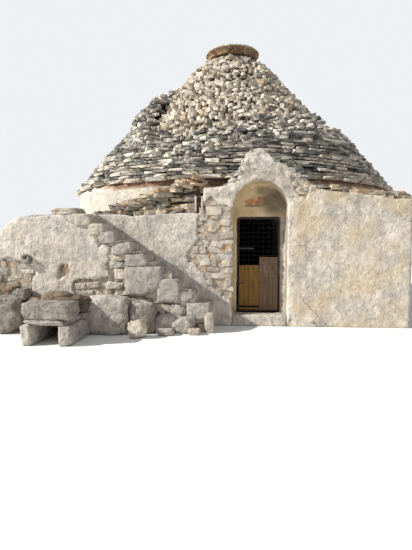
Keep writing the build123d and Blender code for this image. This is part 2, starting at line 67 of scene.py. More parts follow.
# Places read from the frame
eave_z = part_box("skin_lower")[0].z
wall_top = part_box("drum_front_left")[1].z
facade_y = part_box("portal_left")[0].y
recess_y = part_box("portal_left")[1].y
drum_front_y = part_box("drum_front_left")[0].y
stair_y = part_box("stair_mass")[0].y
portal_left_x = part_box("portal_left")[0].x
portal_right_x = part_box("portal_right")[1].x
recess_left_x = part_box("portal_left")[1].x
recess_right_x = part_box("portal_right")[0].x
lintel_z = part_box("passage_left")[1].z
arch_spring_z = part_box("portal_left")[1].z
arch_centre_x = (recess_left_x + recess_right_x) / 2
annex_right_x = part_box("annex_front_wall")[1].x
annex_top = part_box("annex_front_wall")[1].z
left_wall_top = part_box("front_wall_left")[1].z
right_wall_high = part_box("front_wall_right")[1].z
right_wall_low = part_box("side_wall_right")[1].z
right_wall_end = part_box("side_wall_right")[1].x
mesh_low, mesh_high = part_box("gate_mesh")

# Cone outlines: radius and rise above the eave, as in the solids
SKIN = [(4.46, 0), (3.96, 0.64), (3.53, 1.14), (3.03, 1.69), (2.80, 2.14), (2.42, 2.54), (2.13, 2.80)]
RUBBLE = [(4.15, 0), (3.15, 1.24), (2.62, 1.84), (1.85, 2.69), (1.35, 3.29), (0.80, 3.86), (0.69, 3.93)]
# Broken top edge of the slab skin: azimuth and rise
BROKEN_EDGE = [
    (-180, 2.80), (-64, 2.80), (-54, 2.66), (-48, 2.30), (-44, 1.80), (-37, 1.25), (-29, 1.12), (-16, 0.86),
    (-6, 1.06), (10, 1.26), (38, 1.50), (53, 1.50), (90, 1.60), (112, 1.72), (124, 2.20), (136, 2.66), (150, 2.80),
    (180, 2.80),
]
# Top of the gable: places across and heights
GABLE = [
    (-0.46, 2.785), (0.01, 2.815), (0.21, 2.975), (0.34, 3.225), (0.41, 3.395), (0.50, 3.495), (0.725, 3.53),
    (0.84, 3.395), (0.96, 3.265), (1.22, 3.155), (1.50, 2.93), (1.78, 2.775),
]


def add(tree, kind, inputs=None, **settings):
    """Node of a kind, its settings made, its inputs set by name or number to a value or a socket."""
    made = tree.nodes.new(kind)
    for key, value in settings.items():
        setattr(made, key, value)
    for key, value in (inputs or {}).items():
        if isinstance(value, bpy.types.NodeSocket):
            tree.links.new(value, made.inputs[key])
        else:
            made.inputs[key].default_value = value
    return made


def calc(tree, operation, first, second):
    """Sum, product or the like of two values."""
    return add(tree, "ShaderNodeMath", {0: first, 1: second}, operation=operation).outputs[0]


def split(tree, vector):
    """The X, Y and Z of a vector."""
    return add(tree, "ShaderNodeSeparateXYZ", {0: vector}).outputs


# Meshes and objects


def mesh_of(verts, edges=(), faces=(), name="guide"):
    """Mesh from points, edges and faces."""
    mesh = bpy.data.meshes.new(name)
    mesh.from_pydata(verts, edges, faces)
    return mesh


def mesh_from(name, shell):
    """Mesh from a bmesh, which is freed."""
    mesh = bpy.data.meshes.new(name)
    shell.to_mesh(mesh)
    shell.free()
    return mesh


def shown(name, mesh):
    """Object of a mesh, in the scene."""
    made = bpy.data.objects.new(name, mesh)
    bpy.context.scene.collection.objects.link(made)
    return made


def coat(mesh, material, smooth=False):
    """Gives a mesh one material only, and shades it smooth if asked."""
    mesh.materials.clear()
    mesh.materials.append(material)
    if smooth:
        mesh.polygons.foreach_set("use_smooth", [True] * len(mesh.polygons))


def store(mesh, label, values):
    """Stores a value for each point of a mesh."""
    mesh.attributes.new(label, "FLOAT", "POINT").data.foreach_set("value", values)


def clamp(value, high=1.0):
    """A value kept between 0 and a top."""
    return max(0.0, min(high, value))


def along(place, outline):
    """What an outline of pairs gives at a place along it."""
    places, values = zip(*outline)
    return float(np.interp(place, places, values))


# Materials


def new_material(name):
    """Material, its node tree, its shader, and the object coordinates."""
    material = bpy.data.materials.new(name)
    material.use_nodes = True
    tree = material.node_tree
    place = add(tree, "ShaderNodeTexCoord").outputs["Object"]
    return material, tree, tree.nodes["Principled BSDF"], place


def stretched(tree, value, low, high, top=1.0):
    """A value spread out so that low gives 0 and high gives the top."""
    inputs = {"Value": value, "From Min": low, "From Max": high, "To Max": top}
    return add(tree, "ShaderNodeMapRange", inputs).outputs["Result"]


def cloud(tree, place, scale, low=0.35, high=0.65, detail=6.0, stretch=None):
    """Soft patches: noise of a scale per metre, 0 up to its low value and 1 from its high value."""
    if stretch:
        place = add(tree, "ShaderNodeMapping", {"Vector": place, "Scale": stretch}).outputs["Vector"]
    inputs = {"Vector": place, "Scale": scale, "Detail": detail, "Roughness": 0.6}
    return stretched(tree, add(tree, "ShaderNodeTexNoise", inputs).outputs["Fac"], low, high)


def mix(tree, factor, under, over, blend="MIX"):
    """Colour laid over another by a factor."""
    return add(tree, "ShaderNodeMix", {0: factor, 6: under, 7: over}, data_type="RGBA", blend_type=blend).outputs[2]


def marked(tree, colour, marks):
    """Colour with marks laid over it: where each one is, its strength and its colour."""
    for mark, strength, over in marks:
        colour = mix(tree, calc(tree, "MULTIPLY", mark, strength), colour, over)
    return colour


def patched(tree, place, colour, patches):
    """Colour with soft patches over it: scale, where each begins and is full, detail, strength and colour."""
    return marked(tree, colour, [
        (cloud(tree, place, scale, low, high, detail), strength, over)
        for scale, low, high, detail, strength, over in patches
    ])


def painted(tree, name):
    """A value stored on the mesh's points."""
    return add(tree, "ShaderNodeAttribute", attribute_name=name).outputs["Fac"]


def ramp(tree, factor, stops):
    """Colours at positions along a value."""
    made = add(tree, "ShaderNodeValToRGB", {"Fac": factor})
    elements = made.color_ramp.elements
    while len(elements) < len(stops):
        elements.new(0.5)
    for element, (position, colour) in zip(elements, stops):
        element.position = position
        element.color = (*colour, 1)
    return made.outputs["Color"]


def finish(tree, surface, colour, bumps, roughness, specular=0.5):
    """Gives a shader its colour, roughness and specular level, and bumps: height and depth in metres."""
    tree.links.new(colour, surface.inputs["Base Color"])
    surface.inputs["Roughness"].default_value = roughness
    surface.inputs["Specular IOR Level"].default_value = specular
    normal = None
    for height, depth in bumps:
        inputs = {"Height": height, "Distance": depth}
        if normal:
            inputs["Normal"] = normal
        normal = add(tree, "ShaderNodeBump", inputs).outputs["Normal"]
    tree.links.new(normal, surface.inputs["Normal"])


def shade(colour, amount=1.0):
    """A colour made darker or lighter."""
    return (*[min(1.0, c * amount) for c in colour], 1)


def cracks(tree, place):
    """Thin crooked cracks between 0 and 1, in some places only."""
    bend = add(tree, "ShaderNodeTexNoise", {"Vector": place, "Scale": 5.0, "Detail": 6.0}).outputs["Color"]
    bent = mix(tree, 0.34, place, bend, "ADD")
    edges = add(tree, "ShaderNodeTexVoronoi", {"Vector": bent, "Scale": 1.7}, feature="DISTANCE_TO_EDGE")
    thin = stretched(tree, edges.outputs["Distance"], 0.014, 0.0)
    return calc(tree, "MULTIPLY", thin, cloud(tree, place, 1.1, 0.56, 0.60, 3.0))


def plaster_material(name, pale, warm, grey, weathered):
    """Old lime plaster: warm and grey patches, drips, pits and cracks, painted shade on the faces turned to the key
    light, and the wear and painted shade stored on its points.
    """
    material, tree, surface, place = new_material(name)
    colour = patched(tree, place, shade(pale), [
        (1.3, 0.42, 0.58, 6.0, 1.0, shade(warm)), (2.2, 0.46, 0.60, 7.0, 0.85, shade(grey)),
        (4.5, 0.52, 0.62, 6.0, 0.7, shade(pale, 1.2)), (7.5, 0.50, 0.62, 5.0, 0.55, shade(grey, 0.72)),
        (17.0, 0.55, 0.68, 4.0, 0.4, shade(grey, 0.6)),
    ])
    drips = cloud(tree, place, 2.4, 0.52, 0.72, 6.0, (2.2, 2.2, 0.35))
    pits = cloud(tree, place, 24.0, 0.64, 0.70, 3.0)
    crack = cracks(tree, place)
    facing = split(tree, add(tree, "ShaderNodeNewGeometry").outputs["Normal"])
    level = stretched(tree, facing["Z"], 0.75, 0.95, 0.8)
    # Faces turned to -X, where the key light falls most strongly, are greyed. This is painted shade that holds the key
    # light down there, and it also shows as weathering.
    lamp_side_shade_and_weather = stretched(tree, facing["X"], -0.86, -0.99, 0.75)
    bared = ramp(tree, cloud(tree, place, 4.2, 0.3, 0.7, 8.0), [
        (0.0, (0.24, 0.20, 0.155)), (0.36, (0.46, 0.40, 0.325)), (0.62, (0.52, 0.44, 0.345)),
        (0.84, (0.46, 0.29, 0.165)),
    ])
    stain = ramp(tree, cloud(tree, place, 3.2, 0.25, 0.75, 7.0), [
        (0.0, (0.44, 0.31, 0.17)), (0.5, (0.62, 0.47, 0.285)), (1.0, (0.78, 0.65, 0.46)),
    ])
    soil = ramp(tree, cloud(tree, place, 7.0, 0.3, 0.7, 8.0), [
        (0.0, (0.14, 0.085, 0.055)), (0.5, (0.30, 0.185, 0.12)), (0.9, (0.50, 0.38, 0.28)),
    ])
    # The last mark lays near-black over the plaster where the stored darkening value is. In some places it is soot and
    # dirt. In others it is painted shade: in the passage, on the strip right of the gate and along the left edges of
    # bare patches.
    colour = marked(tree, colour, [
        (drips, weathered, (0.20, 0.185, 0.165, 1)), (pits, 0.6, shade(grey, 0.3)),
        (crack, 0.75, (0.09, 0.075, 0.06, 1)), (painted(tree, "bare"), 1.0, bared),
        (level, 1.0, shade(grey, 0.7)), (lamp_side_shade_and_weather, 1.0, shade(grey, 0.75)), (painted(tree, "stain"), 1.0, stain),
        (painted(tree, "ochre"), cloud(tree, place, 9.0, 0.38, 0.58, 9.0), (0.46, 0.19, 0.075, 1)),
        (painted(tree, "soil"), 1.0, soil), (painted(tree, "soot"), 1.0, (0.045, 0.037, 0.03, 1)),
    ])
    finish(tree, surface, colour, [
        (cloud(tree, place, 4.0, 0.2, 0.8, 4.0), 0.014), (cloud(tree, place, 13.0, 0.25, 0.75, 4.0), 0.011),
        (cloud(tree, place, 36.0, 0.2, 0.8, 3.0), 0.008), (crack, -0.010), (pits, -0.010),
    ], roughness=0.93, specular=0.2)
    return material


def stone_material(name, stops, weather, weather_amount, pitted, grain=1.0):
    """Loose stone: each stone its own tint, weather patches, bleached patches, dark pits and grain."""
    material, tree, surface, place = new_material(name)
    colour = patched(tree, place, ramp(tree, painted(tree, "tint"), stops), [
        (5.0, 0.44, 0.60, 6.0, weather_amount, shade(weather)),
        (9.0, 0.54, 0.64, 6.0, 0.45, shade(stops[-1][1], 1.1)),
        (20.0, 0.54, 0.66, 4.0, pitted, shade(weather, 0.42)),
    ])
    finish(tree, surface, colour, [
        (cloud(tree, place, 7.0, 0.2, 0.8), 0.035 * grain), (cloud(tree, place, 30.0, 0.2, 0.8, 4.0), 0.010 * grain),
    ], roughness=0.9, specular=0.25)
    return material


def earth_material(name, dark, mid, light):
    """Packed earth with small stones in it."""
    material, tree, surface, place = new_material(name)
    colour = ramp(tree, cloud(tree, place, 6.0, 0.25, 0.75, 9.0), [(0.0, dark), (0.5, mid), (0.9, light)])
    pebbles = add(tree, "ShaderNodeTexVoronoi", {"Vector": place, "Scale": 13.0}).outputs["Distance"]
    bumps = [(pebbles, -0.03), (cloud(tree, place, 30.0, 0.2, 0.8), 0.01)]
    finish(tree, surface, colour, bumps, roughness=0.97, specular=0.15)
    return material


def capstone_material(name):
    """Capstone: pale weathered rim and top, dark brown underside."""
    material, tree, surface, place = new_material(name)
    upward = split(tree, add(tree, "ShaderNodeNewGeometry").outputs["Normal"])["Z"]
    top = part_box("capstone")[1].z
    below_rim = stretched(tree, split(tree, place)["Z"], top - 0.06, top - 0.10)
    under = calc(tree, "MAXIMUM", stretched(tree, upward, -0.12, -0.45), below_rim)
    brown = ramp(tree, cloud(tree, place, 9.0, 0.3, 0.7, 8.0), [
        (0.0, (0.08, 0.05, 0.03)), (0.5, (0.24, 0.15, 0.09)), (0.9, (0.45, 0.30, 0.185)),
    ])
    pale = mix(tree, cloud(tree, place, 6.0), (0.62, 0.56, 0.46, 1), (0.38, 0.35, 0.31, 1))
    bumps = [(cloud(tree, place, 9.0, 0.2, 0.8, 8.0), 0.05), (cloud(tree, place, 40.0, 0.2, 0.8), 0.01)]
    finish(tree, surface, mix(tree, under, pale, brown), bumps, roughness=0.92, specular=0.2)
    return material


def board_material(name, dark, mid, light):
    """Weathered board: grain along its height, and stains."""
    material, tree, surface, place = new_material(name)
    grain = cloud(tree, place, 9.0, 0.3, 0.7, 10.0, (7.0, 7.0, 0.35))
    colour = ramp(tree, grain, [(0.0, dark), (0.5, mid), (1.0, light)])
    colour = patched(tree, place, colour, [(4.0, 0.45, 0.7, 6.0, 0.3, shade(mid, 0.45))])
    bumps = [(grain, 0.004), (cloud(tree, place, 60.0, 0.2, 0.8), 0.001)]
    finish(tree, surface, colour, bumps, roughness=0.8, specular=0.3)
    return material


def iron_material(name, dark, mid, rust):
    """Dull iron with rust."""
    material, tree, surface, place = new_material(name)
    colour = ramp(tree, cloud(tree, place, 24.0, 0.35, 0.7), [(0.0, dark), (0.55, mid), (0.9, rust)])
    finish(tree, surface, colour, [(cloud(tree, place, 120.0, 0.2, 0.8), 0.0008)], roughness=0.7)
    surface.inputs["Metallic"].default_value = 0.3
    return material


facade_plaster = plaster_material("facade_plaster", (0.73, 0.665, 0.58), (0.68, 0.60, 0.50), (0.52, 0.49, 0.445), 0.4)
drum_limewash = plaster_material("drum_limewash", (0.66, 0.62, 0.54), (0.62, 0.56, 0.465), (0.57, 0.53, 0.465), 0.1)
roof_slab_stone = stone_material("roof_slab_stone", [
    (0.0, (0.08, 0.078, 0.074)), (0.32, (0.23, 0.22, 0.205)), (0.6, (0.45, 0.42, 0.37)), (0.86, (0.76, 0.70, 0.60)),
    (1.0, (0.90, 0.84, 0.72)),
], (0.26, 0.25, 0.235), 0.38, 0.4)
fallen_slab_stone = stone_material("fallen_slab_stone", [
    (0.0, (0.17, 0.15, 0.125)), (0.35, (0.35, 0.30, 0.24)), (0.65, (0.52, 0.44, 0.33)), (0.85, (0.50, 0.32, 0.17)),
    (1.0, (0.68, 0.59, 0.45)),
], (0.20, 0.185, 0.165), 0.4, 0.4)
rubble_stone = stone_material("rubble_stone", [
    (0.0, (0.18, 0.155, 0.13)), (0.25, (0.45, 0.405, 0.335)), (0.55, (0.69, 0.63, 0.53)), (0.90, (0.88, 0.82, 0.70)),
    (0.97, (0.66, 0.52, 0.37)), (1.0, (0.55, 0.40, 0.26)),
], (0.42, 0.365, 0.295), 0.4, 0.4)
wall_stone = stone_material("wall_stone", [
    (0.0, (0.42, 0.38, 0.33)), (0.4, (0.55, 0.50, 0.43)), (0.85, (0.67, 0.62, 0.54)), (1.0, (0.58, 0.44, 0.31)),
], (0.46, 0.395, 0.31), 0.5, 0.4)
block_stone = stone_material("block_stone", [
    (0.0, (0.41, 0.385, 0.345)), (0.5, (0.49, 0.455, 0.40)), (1.0, (0.60, 0.555, 0.485)),
], (0.34, 0.315, 0.285), 0.7, 0.55, 1.2)
dark_boulder_stone = stone_material("dark_boulder_stone", [
    (0.0, (0.30, 0.275, 0.24)), (0.5, (0.38, 0.35, 0.30)), (1.0, (0.50, 0.46, 0.39)),
], (0.19, 0.175, 0.15), 0.75, 0.5, 1.2)
mossy_stone = stone_material("mossy_stone", [
    (0.0, (0.15, 0.12, 0.09)), (0.5, (0.23, 0.17, 0.115)), (1.0, (0.32, 0.24, 0.165)),
], (0.12, 0.10, 0.08), 0.7, 0.5, 1.3)
rubble_bed = earth_material("rubble_bed", (0.035, 0.028, 0.02), (0.09, 0.065, 0.045), (0.20, 0.15, 0.105))
eave_earth = earth_material("eave_earth", (0.20, 0.135, 0.095), (0.36, 0.27, 0.20), (0.60, 0.52, 0.43))
floor_earth = earth_material("floor_earth", (0.14, 0.115, 0.09), (0.24, 0.20, 0.155), (0.36, 0.31, 0.25))
capstone_stone = capstone_material("capstone_stone")
ochre_board = board_material("ochre_board", (0.13, 0.07, 0.02), (0.25, 0.135, 0.035), (0.34, 0.205, 0.065))
brown_board = board_material("brown_board", (0.12, 0.075, 0.05), (0.20, 0.13, 0.085), (0.29, 0.205, 0.145))
dark_iron = iron_material("dark_iron", (0.022, 0.02, 0.02), (0.04, 0.034, 0.03), (0.10, 0.05, 0.03))
dull_wire = iron_material("dull_wire", (0.04, 0.037, 0.034), (0.06, 0.053, 0.045), (0.10, 0.07, 0.05))


# Stones that the trees below set out


def rough_stone(name, seed, jitter, draw_in):
    """Stone about one unit across: a divided cube with drawn-in corners and jittered points."""
    chance = random.Random(seed)
    shell = bmesh.new()
    bmesh.ops.create_cube(shell, size=1.0)
    bmesh.ops.subdivide_edges(shell, edges=shell.edges[:], cuts=1, use_grid_fill=True)
    lean = chance.uniform(-0.25, 0.25)
    for vert in shell.verts:
        corner = max(0.0, math.hypot(vert.co.x, vert.co.y) - 0.5)
        keep = 1 - corner * draw_in * chance.uniform(0.5, 1.5)
        vert.co.x *= keep
        vert.co.y *= keep
        vert.co += Vector([chance.uniform(-jitter, jitter) for _ in range(3)])
        vert.co.z *= 1 + lean * vert.co.x
    return mesh_from(name, shell)


def stone_set(name, seed, jitter, draw_in):
    """Collection of nine stones, kept out of the scene, for a tree to pick from."""
    collection = bpy.data.collections.new(name)
    for index in range(9):
        stone = rough_stone(f"{name}_{index}", seed + index, jitter, draw_in)
        collection.objects.link(bpy.data.objects.new(stone.name, stone))
    return collection


flat_stones = stone_set("flat_stones", 10, 0.075, 0.75)
lump_stones = stone_set("lump_stones", 40, 0.11, 0.95)
squared_stones = stone_set("squared_stones", 70, 0.065, 0.40)

# Geometry node trees


def new_tree(name, sockets):
    """Geometry tree with named inputs after its geometry: (name, kind of socket, default)."""
    tree = bpy.data.node_groups.new(name, "GeometryNodeTree")
    tree.interface.new_socket(name="Geometry", in_out="OUTPUT", socket_type="NodeSocketGeometry")
    for label, kind, default in (("Geometry", "Geometry", None), *sockets):
        socket = tree.interface.new_socket(name=label, in_out="INPUT", socket_type="NodeSocket" + kind)
        if default is not None:
            socket.default_value = default
    return tree, add(tree, "NodeGroupInput").outputs, add(tree, "NodeGroupOutput")


STONE_SOCKETS = [
    ("Stones", "Collection", None), ("Smallest", "Vector", (0.2, 0.2, 0.05)), ("Largest", "Vector", (0.4, 0.4, 0.08)),
    ("Tilt", "Float", 0.0), ("Unevenness", "Vector", (0.1, 0.1, 0.3)), ("Shift", "Vector", (0.02, 0.02, 0.01)),
    ("Darkest", "Float", 0.0), ("Palest", "Float", 1.0), ("Seed", "Int", 0), ("Material", "Material", None),
]


def random_value(tree, kind, low, high, seed, offset):
    """Random value of a kind between two, with a seed of its own."""
    slot = ("FLOAT_VECTOR", "FLOAT", "INT").index(kind)
    inputs = {2 * slot: low, 2 * slot + 1: high, 8: calc(tree, "ADD", seed, float(offset))}
    return add(tree, "FunctionNodeRandomValue", inputs, data_type=kind).outputs[slot]


def set_stones(tree, points, entry, turn):
    """Stones on points: picked, sized, turned about Z by an angle, tilted and shifted at random, then made real."""
    seed = entry["Seed"]

    def either_way(label, offset):
        """Random vector as far as an input's, either way."""
        least = add(tree, "ShaderNodeVectorMath", {0: entry[label], "Scale": -1.0}, operation="SCALE").outputs[0]
        return random_value(tree, "FLOAT_VECTOR", least, entry[label], seed, offset)

    placed = add(tree, "GeometryNodeSetPosition", {"Geometry": points, "Offset": either_way("Shift", 1)}).outputs[0]
    base = add(tree, "ShaderNodeCombineXYZ", {"Y": entry["Tilt"], "Z": turn}).outputs[0]
    angles = add(tree, "ShaderNodeVectorMath", {0: base, 1: either_way("Unevenness", 2)}, operation="ADD").outputs[0]
    stones = add(tree, "GeometryNodeCollectionInfo", {
        "Collection": entry["Stones"], "Separate Children": True, "Reset Children": True,
    }).outputs[0]
    instances = add(tree, "GeometryNodeInstanceOnPoints", {
        "Points": placed, "Instance": stones, "Pick Instance": True,
        "Instance Index": random_value(tree, "INT", 0, 1000, seed, 4),
        "Rotation": add(tree, "FunctionNodeEulerToRotation", {0: angles}).outputs[0],
        "Scale": random_value(tree, "FLOAT_VECTOR", entry["Smallest"], entry["Largest"], seed, 3),
    }).outputs[0]
    tinted = add(tree, "GeometryNodeStoreNamedAttribute", {
        "Geometry": instances, "Name": "tint",
        "Value": random_value(tree, "FLOAT", entry["Darkest"], entry["Palest"], seed, 5),
    }, data_type="FLOAT", domain="INSTANCE").outputs[0]
    real = add(tree, "GeometryNodeRealizeInstances", {0: tinted}).outputs[0]
    return add(tree, "GeometryNodeSetMaterial", {"Geometry": real, "Material": entry["Material"]}).outputs[0]


def course_tree():
    """Stones along guide lines, one after another, each facing out from the cone's axis or along a wall."""
    tree, entry, leave = new_tree("stone_courses", [("Length", "Float", 0.3), ("Round", "Bool", True), *STONE_SOCKETS])
    curve = add(tree, "GeometryNodeMeshToCurve", {"Mesh": entry["Geometry"]}).outputs[0]
    resample = add(tree, "GeometryNodeResampleCurve", {"Curve": curve, 3: entry["Length"]}, mode="LENGTH")
    points = add(tree, "GeometryNodeCurveToPoints", {"Curve": resample.outputs[0]}, mode="EVALUATED").outputs[0]
    spot = split(tree, add(tree, "GeometryNodeInputPosition").outputs[0])
    outward = calc(tree, "ARCTAN2", spot["Y"], spot["X"])
    turn = add(tree, "GeometryNodeSwitch", {"Switch": entry["Round"], "False": 0.0, "True": outward},
               input_type="FLOAT").outputs[0]
    tree.links.new(set_stones(tree, points, entry, turn), leave.inputs[0])
    return tree


def scatter_tree():
    """Stones spread over a surface, no nearer to each other than a spacing."""
    tree, entry, leave = new_tree("stone_scatter", [
        ("Spacing", "Float", 0.15), ("Turn", "Float", math.tau), *STONE_SOCKETS,
    ])
    spread = add(tree, "GeometryNodeDistributePointsOnFaces", {
        "Mesh": entry["Geometry"], "Distance Min": entry["Spacing"], "Density Max": 400.0, "Seed": entry["Seed"],
    }, distribute_method="POISSON")
    turn = random_value(tree, "FLOAT", 0.0, entry["Turn"], entry["Seed"], 6)
    tree.links.new(set_stones(tree, spread.outputs["Points"], entry, turn), leave.inputs[0])
    return tree


def wire_tree():
    """Welded mesh: round wires across a width and up a height, the level ones behind the upright ones."""
    tree, entry, leave = new_tree("gate_wires", [
        ("Corner", "Vector", (0, 0, 0)), ("Width", "Float", 0.8), ("Height", "Float", 1.9), ("Columns", "Int", 8),
        ("Rows", "Int", 19), ("Wire Radius", "Float", 0.0025), ("Material", "Material", None),
    ])

    def wires(count, span, length, axis, behind):
        """Wires side by side along an axis: inputs for their number, the span they share and their length."""
        step = add(tree, "ShaderNodeCombineXYZ", {axis: calc(tree, "DIVIDE", entry[span], entry[count])}).outputs[0]
        back = add(tree, "ShaderNodeCombineXYZ", {"Y": calc(tree, "MULTIPLY", entry["Wire Radius"], behind)}).outputs[0]
        corner = add(tree, "ShaderNodeVectorMath", {0: entry["Corner"], 1: back}, operation="ADD").outputs[0]
        line = add(tree, "GeometryNodeMeshLine", {
            "Count": calc(tree, "ADD", entry[count], 1.0), "Start Location": corner, "Offset": step,
        }).outputs[0]
        end = add(tree, "ShaderNodeCombineXYZ", {"Z" if axis == "X" else "X": entry[length]}).outputs[0]
        wire = add(tree, "GeometryNodeCurvePrimitiveLine", {"End": end}).outputs[0]
        ring = add(tree, "GeometryNodeCurvePrimitiveCircle", {"Resolution": 8, "Radius": entry["Wire Radius"]})
        tube = add(tree, "GeometryNodeCurveToMesh", {
            "Curve": wire, "Profile Curve": ring.outputs[0], "Fill Caps": True,
        }).outputs[0]
        return add(tree, "GeometryNodeInstanceOnPoints", {"Points": line, "Instance": tube}).outputs[0]

    join = add(tree, "GeometryNodeJoinGeometry")
    tree.links.new(wires("Columns", "Width", "Height", "X", 0.0), join.inputs[0])
    tree.links.new(wires("Rows", "Height", "Width", "Z", 1.8), join.inputs[0])
    real = add(tree, "GeometryNodeRealizeInstances", {0: join.outputs[0]}).outputs[0]
    smooth = add(tree, "GeometryNodeSetShadeSmooth", {"Geometry": real}).outputs[0]
    dressed = add(tree, "GeometryNodeSetMaterial", {"Geometry": smooth, "Material": entry["Material"]}).outputs[0]
    tree.links.new(dressed, leave.inputs[0])
    return tree


stone_courses = course_tree()
stone_scatter = scatter_tree()
gate_wires = wire_tree()


def evaluated_copy(name, source):
    """Plain mesh object of what a source's modifiers make of it. The source is removed."""
    graph = bpy.context.evaluated_depsgraph_get()
    mesh = bpy.data.meshes.new_from_object(source.evaluated_get(graph), depsgraph=graph)
    mesh.name = name
    bpy.data.objects.remove(source)
    return shown(name, mesh)


def grown(name, guide, tree, **values):
    """Mesh object grown by a tree from a guide mesh, with values for its named inputs."""
    source = shown(name + "_guide", guide)
    modifier = source.modifiers.new("grow", "NODES")
    modifier.node_group = tree
    sockets = {item.name: item.identifier for item in tree.interface.items_tree if item.in_out == "INPUT"}
    for label, value in values.items():
        modifier[sockets[label.replace("_", " ")]] = value
    return evaluated_copy(name, source)


def remeshed(name, mesh, voxel, soften):
    """Object of a mesh merged into one closed skin of small squares and softened at its edges."""
    source = shown(name, mesh)
    remesh = source.modifiers.new("merge", "REMESH")
    remesh.mode = "VOXEL"
    remesh.voxel_size = voxel
    source.modifiers.new("soften", "SMOOTH").iterations = soften
    return evaluated_copy(name, source)


def joined(name, pieces):
    """One mesh object from several, materials and point values kept."""
    for piece in bpy.context.view_layer.objects:
        piece.select_set(False)
    for piece in pieces:
        piece.select_set(True)
    bpy.context.view_layer.objects.active = pieces[0]
    with bpy.context.temp_override(active_object=pieces[0], selected_editable_objects=pieces, selected_objects=pieces):
        bpy.ops.object.join()
    pieces[0].name = name
    pieces[0].data.name = name
    return pieces[0]


def give(piece, *nodes, body="house", slot=None):
    """Sets a finished piece on its body, in place of CAD nodes."""
    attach(piece, body)
    if nodes:
        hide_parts(*nodes)


# Cone


def radius_at(outline, rise):
    """Radius of an outline at a rise above the eave."""
    return along(rise, [(z, r) for r, z in outline])


def edge_rise(azimuth):
    """Rise of the skin's broken top edge at an azimuth."""
    return along(azimuth, BROKEN_EDGE)


def gable_height(x):
    """Height of the gable's top at a distance across the front, or 0 beside it."""
    return along(x, GABLE) if portal_left_x < x < portal_right_x else 0.0


def round_place(azimuth, radius, z):
    """Point at an azimuth, radius and height."""
    angle = math.radians(azimuth)
    return Vector((radius * math.sin(angle), -radius * math.cos(angle), z))


def in_gable(spot):
    """Whether a point lies inside the gable wall or the passage roof, or just over it."""
    return spot.y < drum_front_y and spot.z < gable_height(spot.x) + 0.03


def line_mesh(lines):
    """Guide mesh of open lines of points."""
    edges = []
    first = 0
    for line in lines:
        edges += [(first + index, first + index + 1) for index in range(len(line) - 1)]
        first += len(line)
    return mesh_of([spot for line in lines for spot in line], edges)


# Azimuths of the surviving skin's ragged left end, and of a clump of scraps above the right of the broken edge
RAGGED_END = (-78, -40)
SCRAP_CLUMP = (66, 118)


def loose_from(azimuth):
    """Rise where the neat courses end and the disordered slabs begin."""
    edge = edge_rise(azimuth)
    if RAGGED_END[0] < azimuth < RAGGED_END[1]:
        return max(1.15, edge - 1.0)
    return edge - (0.30 + 0.15 * math.exp(-((azimuth + 12) / 14) ** 2) if edge < 2.0 else 0.10)


# How far a slab reaches into the cone, and degrees between the points of a course's line
SLAB_DEPTH = 0.40
COURSE_STEP = 2.0


def course_lines(low, high, pitch):
    """Guide lines of the slab courses between two rises, broken off where the neat courses end."""
    chance = random.Random(7)
    lines = []
    for row in range(int((high - low) / pitch)):
        rise = low + (row + 0.5) * pitch
        radius = radius_at(SKIN, max(0.0, rise)) - SLAB_DEPTH / 2
        start = chance.uniform(-180, -178)
        line = []
        for index in range(int(360 / COURSE_STEP) + 1):
            azimuth = start + index * COURSE_STEP
            spot = round_place(azimuth, radius, eave_z + rise)
            ragged = 0.10 * noise.noise(spot * 2.6)
            spot.z += 0.022 * noise.noise(Vector((spot.x * 0.9, spot.y * 0.9, rise * 0.4)))
            swell = 1 + 0.006 * noise.noise(spot * 1.4)
            spot.x *= swell
            spot.y *= swell
            turned = (azimuth + 180) % 360 - 180
            if rise > loose_from(turned) + ragged or in_gable(spot):
                if len(line) > 1:
                    lines.append(line)
                line = []
            else:
                line.append(spot)
        if len(line) > 1:
            lines.append(line)
    return lines


def cone_patch(keep, outline, lift):
    """Strip mesh over the cone where keep(azimuth, rise) holds."""
    step = 3.0
    rise_step = 0.07
    columns = int(360 / step)
    rows = int(outline[-1][1] / rise_step)

    def place(column, row):
        """Azimuth and rise of a place in the grid, and its point."""
        azimuth, rise = -180 + column * step, row * rise_step
        return azimuth, rise, round_place(azimuth, radius_at(outline, rise) + lift, eave_z + rise)

    verts = [place(column, row)[2] for row in range(rows + 1) for column in range(columns)]
    faces = []
    for row in range(rows):
        for column in range(columns):
            azimuth, rise, spot = place(column + 0.5, row + 0.5)
            if keep(azimuth, rise) and not in_gable(spot):
                below, above, after = row * columns, (row + 1) * columns, (column + 1) % columns
                faces.append((below + column, below + after, above + after, above + column))
    return mesh_of(verts, faces=faces)


def slab_rings(name, low, high, pitch, **values):
    """Neat slab courses between two rises."""
    return grown(
        name, line_mesh(course_lines(low, high, pitch)), stone_courses, Stones=flat_stones, Material=roof_slab_stone,
        **values,
    )


